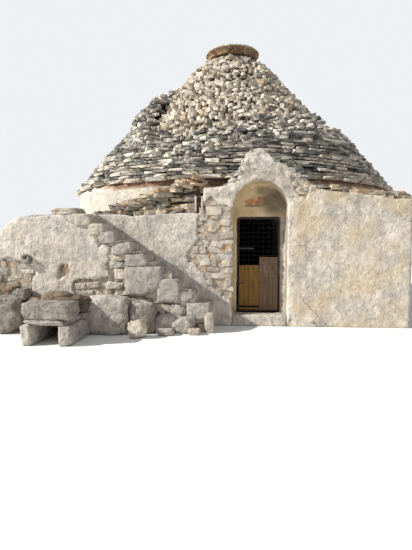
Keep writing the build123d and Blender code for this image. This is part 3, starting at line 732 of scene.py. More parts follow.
def slab_skin():
    """Slab courses of the cone: heavy slabs on the eave, thinner ones above, disordered ones near the broken edge."""
    middle_rise = 1.70
    pitch = 0.0855
    eave = slab_rings(
        "eave_slabs", -0.06, 0.05, 0.105, Length=0.56, Smallest=(0.47, 0.46, 0.070), Largest=(0.52, 0.62, 0.088),
        Tilt=math.radians(4), Unevenness=(0.015, 0.02, 0.05), Shift=(0.010, 0.012, 0.004), Seed=3,
        Darkest=0.55, Palest=0.95,
    )
    lower = slab_rings(
        "lower_slabs", 0.045, middle_rise, pitch, Length=0.31, Smallest=(0.41, 0.28, 0.040),
        Largest=(0.46, 0.50, 0.074), Tilt=math.radians(5), Unevenness=(0.025, 0.04, 0.07), Shift=(0.018, 0.030, 0.008),
        Seed=11,
    )
    upper = slab_rings(
        "upper_slabs", middle_rise, SKIN[-1][1], pitch, Length=0.30, Smallest=(0.41, 0.26, 0.045),
        Largest=(0.46, 0.46, 0.078), Tilt=math.radians(5), Unevenness=(0.05, 0.07, 0.12), Shift=(0.02, 0.02, 0.010),
        Seed=12,
    )

    def disordered(azimuth, rise):
        spot = round_place(azimuth, 3.0, rise)
        return loose_from(azimuth) - 0.05 < rise < edge_rise(azimuth) + 0.12 * noise.noise(spot * 2.6)

    jumble = [
        grown(
            f"jumbled_slabs_{layer}", cone_patch(disordered, SKIN, lift), stone_scatter, Spacing=0.122,
            Stones=flat_stones, Smallest=(0.11, 0.10, 0.04), Largest=(0.27, 0.24, 0.085), Unevenness=(0.24, 0.24, 0.5),
            Shift=(0.02, 0.02, 0.02), Darkest=0.1, Seed=13 + layer, Material=roof_slab_stone,
        )
        for layer, lift in enumerate((-0.06, -0.17))
    ]
    give(joined("slab_courses_lower", [lower, eave, *jumble]), "skin_lower", "skin_middle", slot="roof_slab")
    upper.name = "slab_courses_upper"
    give(upper, "skin_upper", slot="roof_slab")


def node_shell(nodes):
    """Triangles of CAD nodes as one mesh."""
    shell = bmesh.new()
    for node in nodes:
        shell.from_mesh(frame["nodes"][node].data)
    return mesh_from("shell", shell)


def rubble_core():
    """The cone's rubble body, drawn in a little to take the stones laid over it."""
    sunk = 0.11
    core = node_shell(["rubble_fill", "rubble_top"])
    for vert in core.vertices:
        reach = math.hypot(vert.co.x, vert.co.y)
        surface = radius_at(RUBBLE, vert.co.z - eave_z)
        if reach > surface - 0.02:
            vert.co.x *= (surface - sunk) / reach
            vert.co.y *= (surface - sunk) / reach
    coat(core, rubble_bed)
    return shown("rubble_core", core)


def rubble_cone():
    """Pale rubble of the cone's body where the skin is gone, with slab scraps along the broken edge."""
    neck_rise = 3.74

    def bare_cone(azimuth, rise):
        spot = round_place(azimuth, radius_at(RUBBLE, rise), eave_z + rise)
        return edge_rise(azimuth) - 0.16 + 0.1 * noise.noise(spot * 2.6) < rise < neck_rise

    def fringe(azimuth, rise):
        over = rise - edge_rise(azimuth)
        clump = SCRAP_CLUMP[0] < azimuth < SCRAP_CLUMP[1] and rise < 2.72 - 0.012 * (SCRAP_CLUMP[1] - azimuth)
        return -0.10 < over < 0.16 + 0.40 * noise.noise(Vector((azimuth * 0.08, rise, 1))) or (over > 0 and clump)

    stones = grown(
        "cone_rubble_stones", cone_patch(bare_cone, RUBBLE, -0.085), stone_scatter, Spacing=0.140, Stones=lump_stones,
        Smallest=(0.10, 0.08, 0.055), Largest=(0.28, 0.21, 0.145), Unevenness=(0.28, 0.28, 0.5),
        Shift=(0.03, 0.03, 0.02), Seed=21, Material=rubble_stone,
    )
    chinks = grown(
        "cone_rubble_chinks", cone_patch(bare_cone, RUBBLE, -0.105), stone_scatter, Spacing=0.12, Stones=lump_stones,
        Smallest=(0.05, 0.05, 0.04), Largest=(0.11, 0.10, 0.08), Unevenness=(0.45, 0.45, 0.5),
        Shift=(0.03, 0.03, 0.02), Seed=23, Palest=0.35, Material=rubble_stone,
    )
    scraps = grown(
        "cone_slab_scraps", cone_patch(fringe, RUBBLE, 0.04), stone_scatter, Spacing=0.17, Stones=flat_stones,
        Smallest=(0.14, 0.12, 0.035), Largest=(0.32, 0.28, 0.08), Unevenness=(0.45, 0.45, 0.5),
        Shift=(0.03, 0.03, 0.03), Seed=22, Material=roof_slab_stone,
    )
    give(
        joined("cone_rubble", [rubble_core(), stones, chinks, scraps]), "rubble_fill", "rubble_top",
        slot="rubble_stone",
    )


slab_skin()
rubble_cone()

# Walls: CAD solids that touch are merged into one rough mass, softened, dented and painted


def fractal(spot, scale):
    """Noise of four octaves at a scale per metre."""
    return noise.fractal(spot * scale, 1.0, 2.0, 4)


def in_outline(x, z, outline):
    """Whether a point of the front lies inside a closed outline."""
    inside = False
    for (xa, za), (xb, zb) in zip(outline, outline[1:] + outline[:1]):
        if (za > z) != (zb > z) and x < xa + (z - za) * (xb - xa) / (zb - za):
            inside = not inside
    return inside


# Plaster fallen off the front: closed outlines across and up
FALLEN_FRONT = [
    [(-0.50, 2.36), (-0.60, 2.00), (-0.58, 1.72), (-0.80, 1.42), (-0.66, 1.28), (-0.44, 1.02), (-0.30, 0.74),
     (0.14, 0.55), (0.14, 2.34), (-0.10, 2.50), (-0.30, 2.58), (-0.42, 2.50)],
    [(1.28, 3.00), (1.46, 2.84), (1.62, 2.62), (1.50, 2.50), (1.34, 2.76)],
]
FALLEN_ANNEX = [
    [(-4.35, 1.30), (-4.10, 1.42), (-3.80, 1.30), (-3.68, 1.12), (-3.72, 0.0), (-4.40, 0.0)],
    [(-3.22, 1.18), (-3.02, 1.22), (-2.98, 1.02), (-3.20, 1.00)],
    [(-2.42, 1.90), (-2.42, 1.64), (-2.16, 1.62), (-2.20, 1.18), (-2.10, 0.98), (-2.45, 0.98), (-2.86, 0.95),
     (-2.90, 0.0), (-0.22, 0.0), (-0.24, 0.36), (-0.56, 0.56), (-0.82, 0.78), (-1.15, 1.00), (-1.44, 1.22),
     (-1.75, 1.44), (-2.03, 1.64), (-2.28, 1.84)],
]


def near_face(spot, face_y):
    """Whether a point lies on a wall's face or just behind it."""
    return spot.y < face_y + 0.12


def fallen(spot, normal):
    """How far the plaster is gone at a point of the walls, 0 to 1."""
    fray = 0.07 * fractal(spot, 4.0) + 0.025 * noise.noise(spot * 31.0)
    for face_y, outlines, reach in ((facade_y, FALLEN_FRONT, 0.2), (stair_y, FALLEN_ANNEX, math.inf)):
        if face_y - reach < spot.y and near_face(spot, face_y):
            if any(in_outline(spot.x + fray, spot.z + fray, outline) for outline in outlines):
                return 1.0
    # The sides and the back are bare in patches, more so near the ground
    if abs(normal.y) < 0.6 or spot.y > -3.0:
        near_ground = 0.35 * max(0.0, 1.1 - spot.z)
        return 1.0 if fractal(spot, 0.7) + near_ground > 0.62 and spot.z < 2.2 else 0.0
    return 0.0


def earthy(spot):
    """Red-brown earth bared at the drum's top, on both sides of the portal, under the eave."""
    azimuth = math.degrees(math.atan2(spot.x, -spot.y))
    if spot.z < wall_top - 0.3 or abs(azimuth) > 90 or spot.y < drum_front_y - 0.08:
        return 0.0
    deep = clamp((azimuth + 44) / 10) if azimuth < 0 else 0.8 * clamp((66 - azimuth) / 14)
    depth = 0.02 + 0.13 * deep + 0.025 * fractal(spot, 2.0)
    return clamp((spot.z - wall_top + depth) / 0.03)


def knobbly(spot):
    """How far the gable's upper face is lumpy with half-bared stones, 0 to 1."""
    if not 0.05 < spot.x < portal_right_x or spot.y > facade_y + 0.2 or spot.z < 2.4:
        return 0.0
    return max(0.15, min(1.0, 1.0 - (gable_height(spot.x) - 0.15 - spot.z) / 0.25))


# Bare side of the stair, behind its blocks, across and up
STAIR_SIDE = [
    (-2.16, 1.66), (-2.16, 0.98), (-2.05, 0.10), (-0.20, 0.10), (-0.20, 0.62), (-0.56, 0.86), (-0.82, 1.10),
    (-1.15, 1.32), (-1.44, 1.54), (-1.75, 1.78), (-2.00, 1.90),
]


def behind_blocks(spot, normal):
    """How far the stair's core stands back behind its blocks."""
    outward = near_face(spot, stair_y) and normal.y <= -0.3
    return 0.055 if outward and in_outline(spot.x, spot.z, STAIR_SIDE) else 0.0


def in_recess(spot):
    """Whether a point lies on the faces inside the arched recess or the passage."""
    beside = recess_left_x - 0.05 < spot.x < recess_right_x + 0.05
    return beside and spot.y > facade_y + 0.05 and spot.z < arch_spring_z + 0.62


# Stains and dark patches: middle across and up, and reach across and up. The dark patches' middles are from the arch's
# centre.
TAN_STAIN = (1.50, 2.25, 0.32, 0.50)
RIGHT_DARK_PATCH = (0.30, 0.16, 0.30, 0.30)
TOP_DARK_PATCH = (0.10, 0.38, 0.24, 0.12)


def off_middle(across, up, stain):
    """Distance from a stain's middle, 1 at the end of its reach."""
    middle_across, middle_up, wide, high = stain
    return math.hypot((across - middle_across) / wide, (up - middle_up) / high)


def stained(spot):
    """How far the damp yellow-brown of the recess and the right wall goes at a point, 0 to 1."""
    if in_recess(spot):
        in_passage = spot.z < lintel_z and spot.x > recess_right_x - 0.2
        if spot.x > arch_centre_x + 0.3 and (spot.y < recess_y - 0.03 or in_passage):
            return 0.1
        return min(1.0, (spot.y - facade_y) / 0.16)
    if spot.x < portal_right_x - 0.45 or spot.y > facade_y + 0.4:
        return 0.0
    tan = 0.55 * max(0.0, 1.0 - off_middle(spot.x, spot.z, TAN_STAIN))
    return clamp(0.20 + tan + 0.5 * fractal(spot, 2.2), 0.6)


def ochred(spot):
    """Red ochre showing in the middle of the arch's face, 0 to 1."""
    if not in_recess(spot) or spot.y < recess_y - 0.06:
        return 0.0
    across = (spot.x - arch_centre_x + 0.08) / 0.24
    up = (spot.z - arch_spring_z - 0.19 - 0.06 * across) / 0.085
    return 1.0 if across ** 2 + up ** 2 + 0.9 * fractal(spot, 5.0) < 1 else 0.0


def recess_soot_and_shade(spot):
    """Darkening inside the recess and the passage: near-black painted shade behind the recess face, painted shade on
    the strip right of the gate, dark patches at the arch's right side and top, and a streak below the ochre.
    """
    # Behind the recess face, the passage's walls get near-black painted shade. Nothing limits this towards the back, so
    # a band of the drum's walls in line with the recess gets it too.
    if spot.y > recess_y + 0.06:
        return 0.85
    # The strip right of the gate, below the lintel, gets painted shade.
    if spot.z < lintel_z and spot.x > recess_right_x - 0.16:
        return 0.3
    if spot.y < recess_y - 0.06:
        return 0.0
    across = spot.x - arch_centre_x
    up = spot.z - arch_spring_z
    cloudy = 0.22 * fractal(spot, 3.0)
    right = off_middle(across, up, RIGHT_DARK_PATCH) + cloudy
    top = off_middle(across, up, TOP_DARK_PATCH) + cloudy
    streak = abs(up - 0.095 - 0.05 * across - 0.02 * fractal(spot, 3.0)) < 0.016 and -0.30 < across < 0.16
    return max(clamp(1.3 - right, 0.72), clamp(1.15 - top, 0.6), 0.75 if streak else 0.0)


def soot_and_shade_at(spot):
    """How far the plaster is darkened at a point, 0 to 1: soot, dark patches and painted shade in the recess, dirt over
    the gable, a darkening that grows towards the top of the left wall, and a faint even one on the right wall.
    """
    if in_recess(spot):
        return recess_soot_and_shade(spot)
    if spot.y < facade_y + 0.2 and portal_left_x < spot.x < portal_right_x and spot.z > 2.55:
        return clamp(0.14 + 0.4 * fractal(spot, 3.0) + 0.25 * fractal(spot, 12.0), 0.4)
    if spot.y < facade_y + 0.1 and -1.6 < spot.x < -0.85 and spot.z > 2.06:
        return 0.35 * clamp((spot.z - 2.06) / 0.15) * (0.6 + fractal(spot, 5.0))
    return 0.09 if spot.x > portal_right_x - 0.4 and spot.y < facade_y + 0.2 else 0.0


def eroded(spot, top):
    """How far a wall's top edge has worn down at a point."""
    near_top = clamp((spot.z - top + 0.16) / 0.12)
    return near_top * max(0.0, 0.035 + 0.06 * fractal(Vector((spot.x, spot.y, 0.0)), 2.3))


def wall_top_at(spot):
    """Height of the masonry's top over a point of the front walls."""
    if spot.y > stair_y + 0.45 and portal_left_x < spot.x < portal_right_x:
        return gable_height(spot.x)
    if spot.x < annex_right_x:
        return annex_top
    if spot.x < portal_left_x:
        return left_wall_top
    return along(spot.x, [(portal_right_x, right_wall_high), (right_wall_end, right_wall_low)])


def rough_mass(name, nodes, material, voxel, soften, waviness, worn_top=None, calm=None):
    """One rough wall from touching CAD solids: merged, softened at its edges, dented, and painted with its wear and
    with painted shade.
    """
    made = remeshed(name, node_shell(nodes), voxel, soften)
    mesh = made.data
    wear_and_shade = {label: [] for label in ("bare", "stain", "ochre", "soil", "soot")}
    moved = []
    for vert in mesh.vertices:
        spot = vert.co.copy()
        normal = vert.normal
        bare = fallen(spot, normal)
        quiet = calm(spot) if calm else 1.0
        dents = waviness * fractal(spot, 1.1) + 0.009 * fractal(spot, 5.0)
        bared = bare * (0.012 * fractal(spot, 9.0) - 0.040)
        knobs = 0.026 * knobbly(spot) * fractal(spot, 8.0)
        moved.append(spot + normal * (quiet * (dents + bared + knobs) - behind_blocks(spot, normal)))
        if worn_top:
            moved[-1].z -= quiet * eroded(spot, worn_top(spot))
        # Just inside the left edge of a bare patch, under the plaster's edge, the darkening value is a painted shadow
        # of that edge on the masonry.
        beside = fallen(spot - Vector((0.05, 0, 0)), normal)
        below = fallen(spot - Vector((0, 0, 0.09)), normal)
        plaster_edge_shadow = bare > 0.9 and abs(normal.y) > 0.7 and beside < 0.1 < below
        soot = 0.6 if plaster_edge_shadow else soot_and_shade_at(spot)
        for values, value in zip(wear_and_shade.values(), (bare, stained(spot), ochred(spot), earthy(spot), soot)):
            values.append(value)
    for vert, spot in zip(mesh.vertices, moved):
        spot.z = max(spot.z, 0.0)
        vert.co = spot
    for label, values in wear_and_shade.items():
        store(mesh, label, values)
    coat(mesh, material, smooth=True)
    return made


def calm_at_gate(spot):
    """Keeps the jambs, lintel and threshold true where the gate swings past."""
    near = abs(spot.x - arch_centre_x) < 0.62 and spot.z < lintel_z + 0.05 and spot.y > facade_y + 0.05
    return 0.15 if near else 1.0


DRUM = ["drum_front_left", "drum_front_right", "drum_over_door", *[f"drum_segment_{i}" for i in range(1, 7)]]
FRONT = [
    "portal_left", "portal_right", "portal_arch", "passage_left", "passage_right", "passage_roof",
    "front_wall_left", "front_wall_right", "side_wall_right", "annex_front_wall", "annex_side_wall",
    "terrace_fill", "stair_mass",
]
front_masonry = rough_mass(
    "front_masonry", FRONT, facade_plaster, voxel=0.034, soften=3, waviness=0.018, worn_top=wall_top_at,
    calm=calm_at_gate,
)
give(front_masonry, *FRONT, slot="facade_plaster")
drum_walls = rough_mass("drum_walls", DRUM, drum_limewash, voxel=0.055, soften=2, waviness=0.020)
give(drum_walls, *DRUM, slot="drum_plaster")


# Single stones


def boulder_mesh(name, centre, size, seed, boxy, rough):
    """Weathered stone of a size in metres about a centre: a squared-up ball, dented and chipped, flat on its foot."""
    chance = random.Random(seed)
    shell = bmesh.new()
    bmesh.ops.create_icosphere(shell, subdivisions=4, radius=1.0)
    chips = []
    for _ in range(5):
        way = Vector([chance.uniform(-1, 1) for _ in range(3)]).normalized()
        chips.append((way, chance.uniform(0.80, 0.95)))
    shift = Vector([chance.uniform(-50, 50) for _ in range(3)])
    turn = Matrix.Rotation(chance.uniform(-0.05, 0.05), 3, "Z")
    for vert in shell.verts:
        way = vert.co.normalized()
        widest = max(abs(way.x), abs(way.y), abs(way.z))
        spot = way * ((1 - boxy) + boxy / widest)
        spot *= 1 + rough * 2.0 * noise.fractal(spot * 1.6 + shift, 1.0, 2.0, 4)
        for cut, depth in chips:
            over = spot.dot(cut) - depth * (1 + boxy * 0.4)
            if over > 0:
                spot -= cut * over * 0.85
        vert.co = turn @ Vector([a * b * 0.5 for a, b in zip(spot, size)]) + Vector(centre)
        vert.co.z = max(vert.co.z, 0.0)
    mesh = mesh_from(name, shell)
    store(mesh, "tint", [chance.random()] * len(mesh.vertices))
    return mesh


def boulders(name, stones, face_y=0.0):
    """One object of single stones: each a material, a middle (its y from a face), a size, and boxy and rough shares."""
    pieces = []
    for index, (material, (x, y, z), size, (boxy, rough)) in enumerate(stones):
        mesh = boulder_mesh(f"{name}_{index}", (x, face_y + y, z), size, len(name) * 31 + index, boxy, rough)
        coat(mesh, material, smooth=True)
        pieces.append(shown(mesh.name, mesh))
    return joined(name, pieces)


# Manners of stones: how far squared up, and how rough
BOXY = (0.91, 0.030)
SQUAT = (0.66, 0.070)
ROUND = (0.42, 0.085)

# The stair's blocks from the foot up: right end, top, width and height
STAIR_BLOCKS = [
    (-0.256, 0.550, 0.46, 0.32), (-0.560, 0.785, 0.46, 0.24), (-0.825, 1.005, 0.47, 0.46), (-1.150, 1.230, 0.75, 0.56),
    (-1.445, 1.455, 0.43, 0.23), (-1.750, 1.685, 0.39, 0.24), (-2.035, 1.885, 0.34, 0.23), (-2.260, 2.035, 0.30, 0.22),
    (-2.519, 2.225, 0.32, 0.24),
]


def stair_stones():
    """Rough blocks of the treads, a front and a back one to each, and of the stair's bare side."""
    treads = []
    for step, (right, top, width, height) in enumerate(STAIR_BLOCKS):
        stone = block_stone if step < 7 else wall_stone
        front = 0.150 + 0.012 * math.sin(step * 1.7)
        treads += [
            (stone, (right - width / 2, front, top - height / 2), (width, 0.39, height), BOXY),
            (stone, (right - 0.21, 0.50, top - 0.125), (0.42, 0.36, 0.23), BOXY),
        ]
    give(boulders("stair_tread_stones", treads, stair_y), "stair_treads", slot="block_stone")
    give(boulders("stair_side_stones", [
        (block_stone, (-0.86, 0.14, 0.385), (0.28, 0.34, 0.27), BOXY),
        (wall_stone, (-2.055, 0.12, 1.385), (0.24, 0.26, 0.10), BOXY),
        (block_stone, (-2.05, 0.12, 1.26), (0.26, 0.26, 0.14), BOXY),
        (wall_stone, (-1.98, 0.12, 1.08), (0.21, 0.28, 0.20), BOXY),
        (wall_stone, (-2.12, 0.12, 0.87), (0.29, 0.26, 0.15), BOXY),
        (wall_stone, (-2.50, 0.13, 0.87), (0.27, 0.24, 0.13), BOXY),
        (wall_stone, (-2.76, 0.13, 0.84), (0.23, 0.24, 0.13), BOXY),
        (wall_stone, (-2.64, 0.13, 0.71), (0.31, 0.24, 0.13), BOXY),
    ], stair_y), slot="block_stone")


def foot_stones():
    """Boulders and stones at the foot of the walls, and a slab on the annex wall."""
    give(boulders("foot_boulders", [
        (block_stone, (-2.14, -0.22, 0.345), (0.82, 0.50, 0.72), SQUAT),
        (dark_boulder_stone, (-1.51, -0.16, 0.29), (0.48, 0.40, 0.64), SQUAT),
        (block_stone, (-1.10, -0.06, 0.16), (0.40, 0.28, 0.34), SQUAT),
        (block_stone, (-0.76, -0.10, 0.145), (0.40, 0.26, 0.32), SQUAT),
        (wall_stone, (-0.28, -0.05, 0.18), (0.17, 0.15, 0.38), SQUAT),
        (rubble_stone, (-1.51, -0.58, 0.15), (0.33, 0.30, 0.32), ROUND),
        (block_stone, (-1.06, -0.34, 0.06), (0.30, 0.20, 0.13), SQUAT),
        (rubble_stone, (-0.54, -0.26, 0.06), (0.22, 0.16, 0.12), SQUAT),
        (dark_boulder_stone, (-4.08, -0.27, 0.34), (0.62, 0.56, 0.70), SQUAT),
        (mossy_stone, (-4.16, -0.10, 0.74), (0.44, 0.30, 0.24), SQUAT),
        (dark_boulder_stone, (-3.86, -0.12, 0.70), (0.34, 0.26, 0.22), SQUAT),
        (mossy_stone, (-3.52, -0.16, 0.32), (0.44, 0.34, 0.62), SQUAT),
    ], stair_y), "base_boulders", slot="block_stone")
    give(boulders("annex_top_slab", [
        (wall_stone, (-3.06, 0.26, annex_top + 0.02), (0.60, 0.44, 0.14), SQUAT),
    ], stair_y), slot="roof_slab")


def shelter_stones():
    """Low shelter: rough piers, thin slab, lintel block and rounded roof stones."""
    low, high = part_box("shelter_block")
    slab_low, slab_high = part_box("shelter_cover")
    pier_low, pier_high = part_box("shelter_piers")
    middle = (low + high) / 2
    bed = (slab_low.z + slab_high.z) / 2
    give(boulders("shelter_lintel", [
        (dark_boulder_stone, tuple(middle), (high.x - low.x + 0.02, 0.42, 0.285), BOXY),
    ]), "shelter_block", slot="block_stone")
    give(boulders("shelter_slab", [
        (block_stone, (middle.x - 0.02, slab_low.y + 0.33, bed), (0.72, 0.69, 0.09), BOXY),
        (block_stone, (middle.x, slab_low.y + 0.99, bed), (0.82, 0.68, 0.09), BOXY),
    ]), "shelter_cover", slot="roof_slab")
    give(boulders("shelter_pier_stones", [
        (block_stone, (x, y, 0.165), (0.20, 0.46, 0.33), BOXY)
        for x in (pier_low.x + 0.105, pier_high.x - 0.105) for y in (-6.52, -6.06, -5.62)
    ]), "shelter_piers", slot="block_stone")
    give(boulders("shelter_roof_stones", [
        (mossy_stone, (middle.x - 0.16, -5.80, 0.56), (0.52, 0.66, 0.44), ROUND),
        (mossy_stone, (middle.x + 0.22, -5.70, 0.52), (0.42, 0.60, 0.38), ROUND),
        (mossy_stone, (middle.x + 0.02, -6.10, 0.53), (0.56, 0.46, 0.36), ROUND),
    ]), "shelter_roof", slot="rubble_stone")


stair_stones()
foot_stones()
shelter_stones()


# Loose stones on the terraces and stones set in the bare patches of wall


def height_patch(x_range, y_range, height):
    """Guide mesh over a stretch of ground, at height(x, y)."""
    step = 0.06
    xs = np.arange(*x_range, step)
    ys = np.arange(*y_range, step)
    wide = len(xs)
    starts = [row * wide + column for row in range(len(ys) - 1) for column in range(wide - 1)]
    return mesh_of(
        [(x, y, height(x, y)) for y in ys for x in xs],
        faces=[(start, start + 1, start + wide + 1, start + wide) for start in starts],
    )


# Tops of the two heaps: places across and heights
LEFT_HEAP = [(-2.71, 2.25), (-2.39, 2.38), (-1.83, 2.60), (-1.21, 2.83), (-0.90, 2.97), (-0.46, 3.10)]
RIGHT_HEAP = [(1.78, 2.72), (3.6, 2.54)]


def left_heap_height(x, y):
    """Heap of fallen slabs that rises from the terrace to the portal's shoulder."""
    return along(x, LEFT_HEAP) - 0.75 * max(0.0, facade_y + 0.34 - y)


def right_heap_height(x, y):
    """Low heap on the right wall."""
    return along(x, RIGHT_HEAP) + 0.03 + 0.10 * clamp((y - facade_y - 0.1) / 0.8)


def stacked_slabs():
    """Fallen slabs stacked up along the front of the left heap, stepping back as they rise."""
    lines = []
    for row in range(9):
        z = left_wall_top - 0.02 + row * 0.085
        y = facade_y + 0.26 + 0.035 * row
        places = [x for x in np.arange(-2.5, -0.42, 0.06) if left_heap_height(x, y) > z + 0.02]
        line = [Vector((x, y, z + 0.06 * noise.noise(Vector((x * 1.2, row * 0.7, 0))))) for x in places]
        if len(line) > 2:
            lines.append(line)
    return grown(
        "stacked_slabs", line_mesh(lines), stone_courses, Length=0.27, Round=False, Stones=flat_stones,
        Smallest=(0.20, 0.34, 0.045), Largest=(0.38, 0.46, 0.10), Tilt=-0.10, Unevenness=(0.12, 0.20, 0.35),
        Shift=(0.03, 0.03, 0.012), Seed=70, Material=fallen_slab_stone,
    )


def heap_bed():
    """Dark bed under the left heap's slabs, a little lower and further back than the CAD's heap."""
    core = node_shell(["slab_heap"])
    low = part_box("slab_heap")[0]
    for vert in core.vertices:
        vert.co.z = low.z + (vert.co.z - low.z) * 0.86
        vert.co.y = max(vert.co.y, low.y + 0.09)
    coat(core, rubble_bed)
    return shown("heap_bed", core)


def loose_slabs():
    """Fallen slabs lying on the terraces on both sides of the portal."""
    heaps = [stacked_slabs()]
    for index, (x_range, y_range, height, depths) in enumerate((
        ((-2.60, -0.50), (facade_y + 0.24, -3.70), left_heap_height, (0.03, 0.12)),
        ((1.86, 3.50), (facade_y + 0.22, -3.15), right_heap_height, (0.0, 0.07)),
    )):
        for layer, depth in enumerate(depths):
            heaps.append(grown(
                f"heap_{index}_{layer}", height_patch(x_range, y_range, lambda x, y: height(x, y) - depth),
                stone_scatter, Spacing=0.19, Turn=0.0, Stones=flat_stones, Smallest=(0.22, 0.20, 0.05),
                Largest=(0.46, 0.36, 0.095), Tilt=0.10, Unevenness=(0.16, 0.18, 0.7), Shift=(0.03, 0.03, 0.02),
                Seed=50 + 10 * index + layer, Material=fallen_slab_stone,
            ))
    give(joined("terrace_loose_slabs", [heap_bed(), *heaps]), "slab_heap", slot="roof_slab")


def extent(outline):
    """Least and most across, and least and most up, of an outline."""
    xs, zs = zip(*outline)
    return min(xs), max(xs), min(zs), max(zs)


def upright_patch(outline, y):
    """Upright guide mesh inside an outline on a wall's face."""
    step = 0.04
    low_x, high_x, low_z, high_z = extent(outline)
    verts = []
    for x in np.arange(low_x, high_x, step):
        for z in np.arange(low_z, high_z, step):
            if in_outline(x + step / 2, z + step / 2, outline):
                verts += [(x, y, z), (x + step, y, z), (x + step, y, z + step), (x, y, z + step)]
    return mesh_of(verts, faces=[tuple(range(first, first + 4)) for first in range(0, len(verts), 4)])


def wall_rows(outline, y):
    """Guide lines of rough courses inside an outline on a wall's face."""
    pitch = 0.132
    low_x, high_x, low_z, high_z = extent(outline)
    lines = []
    for z in np.arange(low_z + pitch / 2, high_z, pitch):
        line = []
        for x in np.arange(low_x, high_x - 0.10, 0.05):
            if in_outline(x, z, outline):
                line.append(Vector((x, y, z + 0.03 * noise.noise(Vector((x * 1.5, z * 3, 0))))))
            elif line:
                lines.append(line)
                line = []
        lines.append(line)
    return [line for line in lines if len(line) > 2]


def set_wall_stones():
    """Rough courses showing where plaster has fallen off the front."""
    patches = [(shape, facade_y) for shape in FALLEN_FRONT] + [(shape, stair_y) for shape in FALLEN_ANNEX]
    stones = joined("front_wall_stones", [
        grown(
            f"wall_stones_{index}", line_mesh(wall_rows(outline, y + 0.090)), stone_courses, Length=0.20, Round=False,
            Stones=squared_stones, Smallest=(0.10, 0.13, 0.07), Largest=(0.31, 0.15, 0.155),
            Unevenness=(0.05, 0.22, 0.05), Shift=(0.045, 0.010, 0.022), Seed=31 + index, Material=wall_stone,
        )
        for index, (outline, y) in enumerate(patches)
    ])
    for vert in stones.data.vertices:
        vert.co.z = max(vert.co.z, 0.0)
    give(stones, slot="rubble_stone")


def gable_stones():
    """Rough stones over the gable's sloping top, with a few half sunk in its plaster."""
    lines = [
        [Vector((x, facade_y + 0.09 + row * 0.14, gable_height(x) - 0.05)) for x in np.arange(0.05, 1.70, 0.05)]
        for row in range(4)
    ]
    over = grown(
        "gable_top_stones", line_mesh(lines), stone_courses, Length=0.15, Round=False, Stones=lump_stones,
        Smallest=(0.09, 0.12, 0.05), Largest=(0.24, 0.18, 0.11), Unevenness=(0.30, 0.40, 0.5),
        Shift=(0.03, 0.03, 0.02), Seed=41, Material=block_stone,
    )
    edge = [(float(x), gable_height(x) - 0.04) for x in np.arange(0.05, 1.70, 0.06)]
    outline = edge + [(x, z - 0.22 + 0.08 * math.sin(9 * x)) for x, z in reversed(edge)]
    face = grown(
        "gable_face_stones", upright_patch(outline, facade_y + 0.066), stone_scatter, Spacing=0.17, Turn=0.0,
        Stones=lump_stones, Smallest=(0.08, 0.10, 0.05), Largest=(0.22, 0.14, 0.13), Unevenness=(0.15, 0.30, 0.10),
        Shift=(0.03, 0.02, 0.03), Seed=43, Material=block_stone,
    )
    give(joined("gable_stones", [over, face]), slot="rubble_stone")


loose_slabs()
set_wall_stones()
gable_stones()

# Drain, channel stone, threshold, cap and gate


def worn_copy(name, node, material, slot, voxel, soften, dents):
    """A CAD solid with worn edges: merged, softened and dented."""
    shell = bmesh.new()
    shell.from_mesh(frame["nodes"][node].data)
    bmesh.ops.remove_doubles(shell, verts=shell.verts, dist=1e-5)
    bmesh.ops.dissolve_limit(shell, angle_limit=0.02, verts=shell.verts, edges=shell.edges)
    made = remeshed(name, mesh_from(name, shell), voxel, soften)
    for vert in made.data.vertices:
        vert.co += vert.normal * dents * fractal(vert.co, 9.0)
        vert.co.z = max(0.0, vert.co.z)
    tint = random.Random(len(name)).random()
    store(made.data, "tint", [tint] * len(made.data.vertices))
    coat(made.data, material, smooth=True)
    give(made, node, slot=slot)
    return made


def dress_node(node, material):
    """Gives a CAD node's object a material of its own."""
    data = frame["nodes"][node].data
    if not data.materials:
        data.materials.append(material)
    for index in range(len(data.materials)):
        data.materials[index] = material


drain = worn_copy(
    "drain_channel", "drain_spout", dark_boulder_stone, "block_stone", voxel=0.012, soften=2, dents=0.006,
)
drain_reach_share = 0.45
for vert in drain.data.vertices:
    if vert.co.y < stair_y:
        vert.co.y = stair_y + (vert.co.y - stair_y) * drain_reach_share
post = worn_copy("upright_channel", "channel_stone", wall_stone, "block_stone", voxel=0.012, soften=3, dents=0.008)
post.data.attributes["tint"].data.foreach_set("value", [0.6] * len(post.data.vertices))
post.data.materials.append(rubble_bed)
# The faces of the channel stone's slot get the dark bed material as painted shade
slot_low = Vector((-0.592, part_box("channel_stone")[0].y + 0.02, 2.30))
slot_high = Vector((-0.498, 0.0, 2.60))
for face in post.data.polygons:
    if all(low < place < high for low, place, high in zip(slot_low, face.center, slot_high)):
        face.material_index = 1
worn_copy("threshold_stone", "threshold", block_stone, "block_stone", voxel=0.022, soften=2, dents=0.008)
worn_copy("cap_dish", "capstone", capstone_stone, "roof_slab", voxel=0.022, soften=2, dents=0.018)

for node, material in (
    ("eave_bed", eave_earth), ("floor", floor_earth), ("vault_lower", rubble_bed), ("vault_upper", rubble_bed),
    ("vault_slab", rubble_bed), ("gate_frame", dark_iron), ("gate_straps", dull_wire), ("gate_pintles", dark_iron),
):
    dress_node(node, material)

wires = grown(
    "welded_wires", line_mesh([[Vector(mesh_low), Vector(mesh_high)]]), gate_wires,
    Corner=Vector((mesh_low.x, mesh_low.y + 0.001, mesh_low.z)), Width=mesh_high.x - mesh_low.x,
    Height=mesh_high.z - mesh_low.z, Columns=8, Rows=20, Material=dull_wire, Wire_Radius=0.0014,
)
give(wires, "gate_mesh", body="gate", slot="iron")


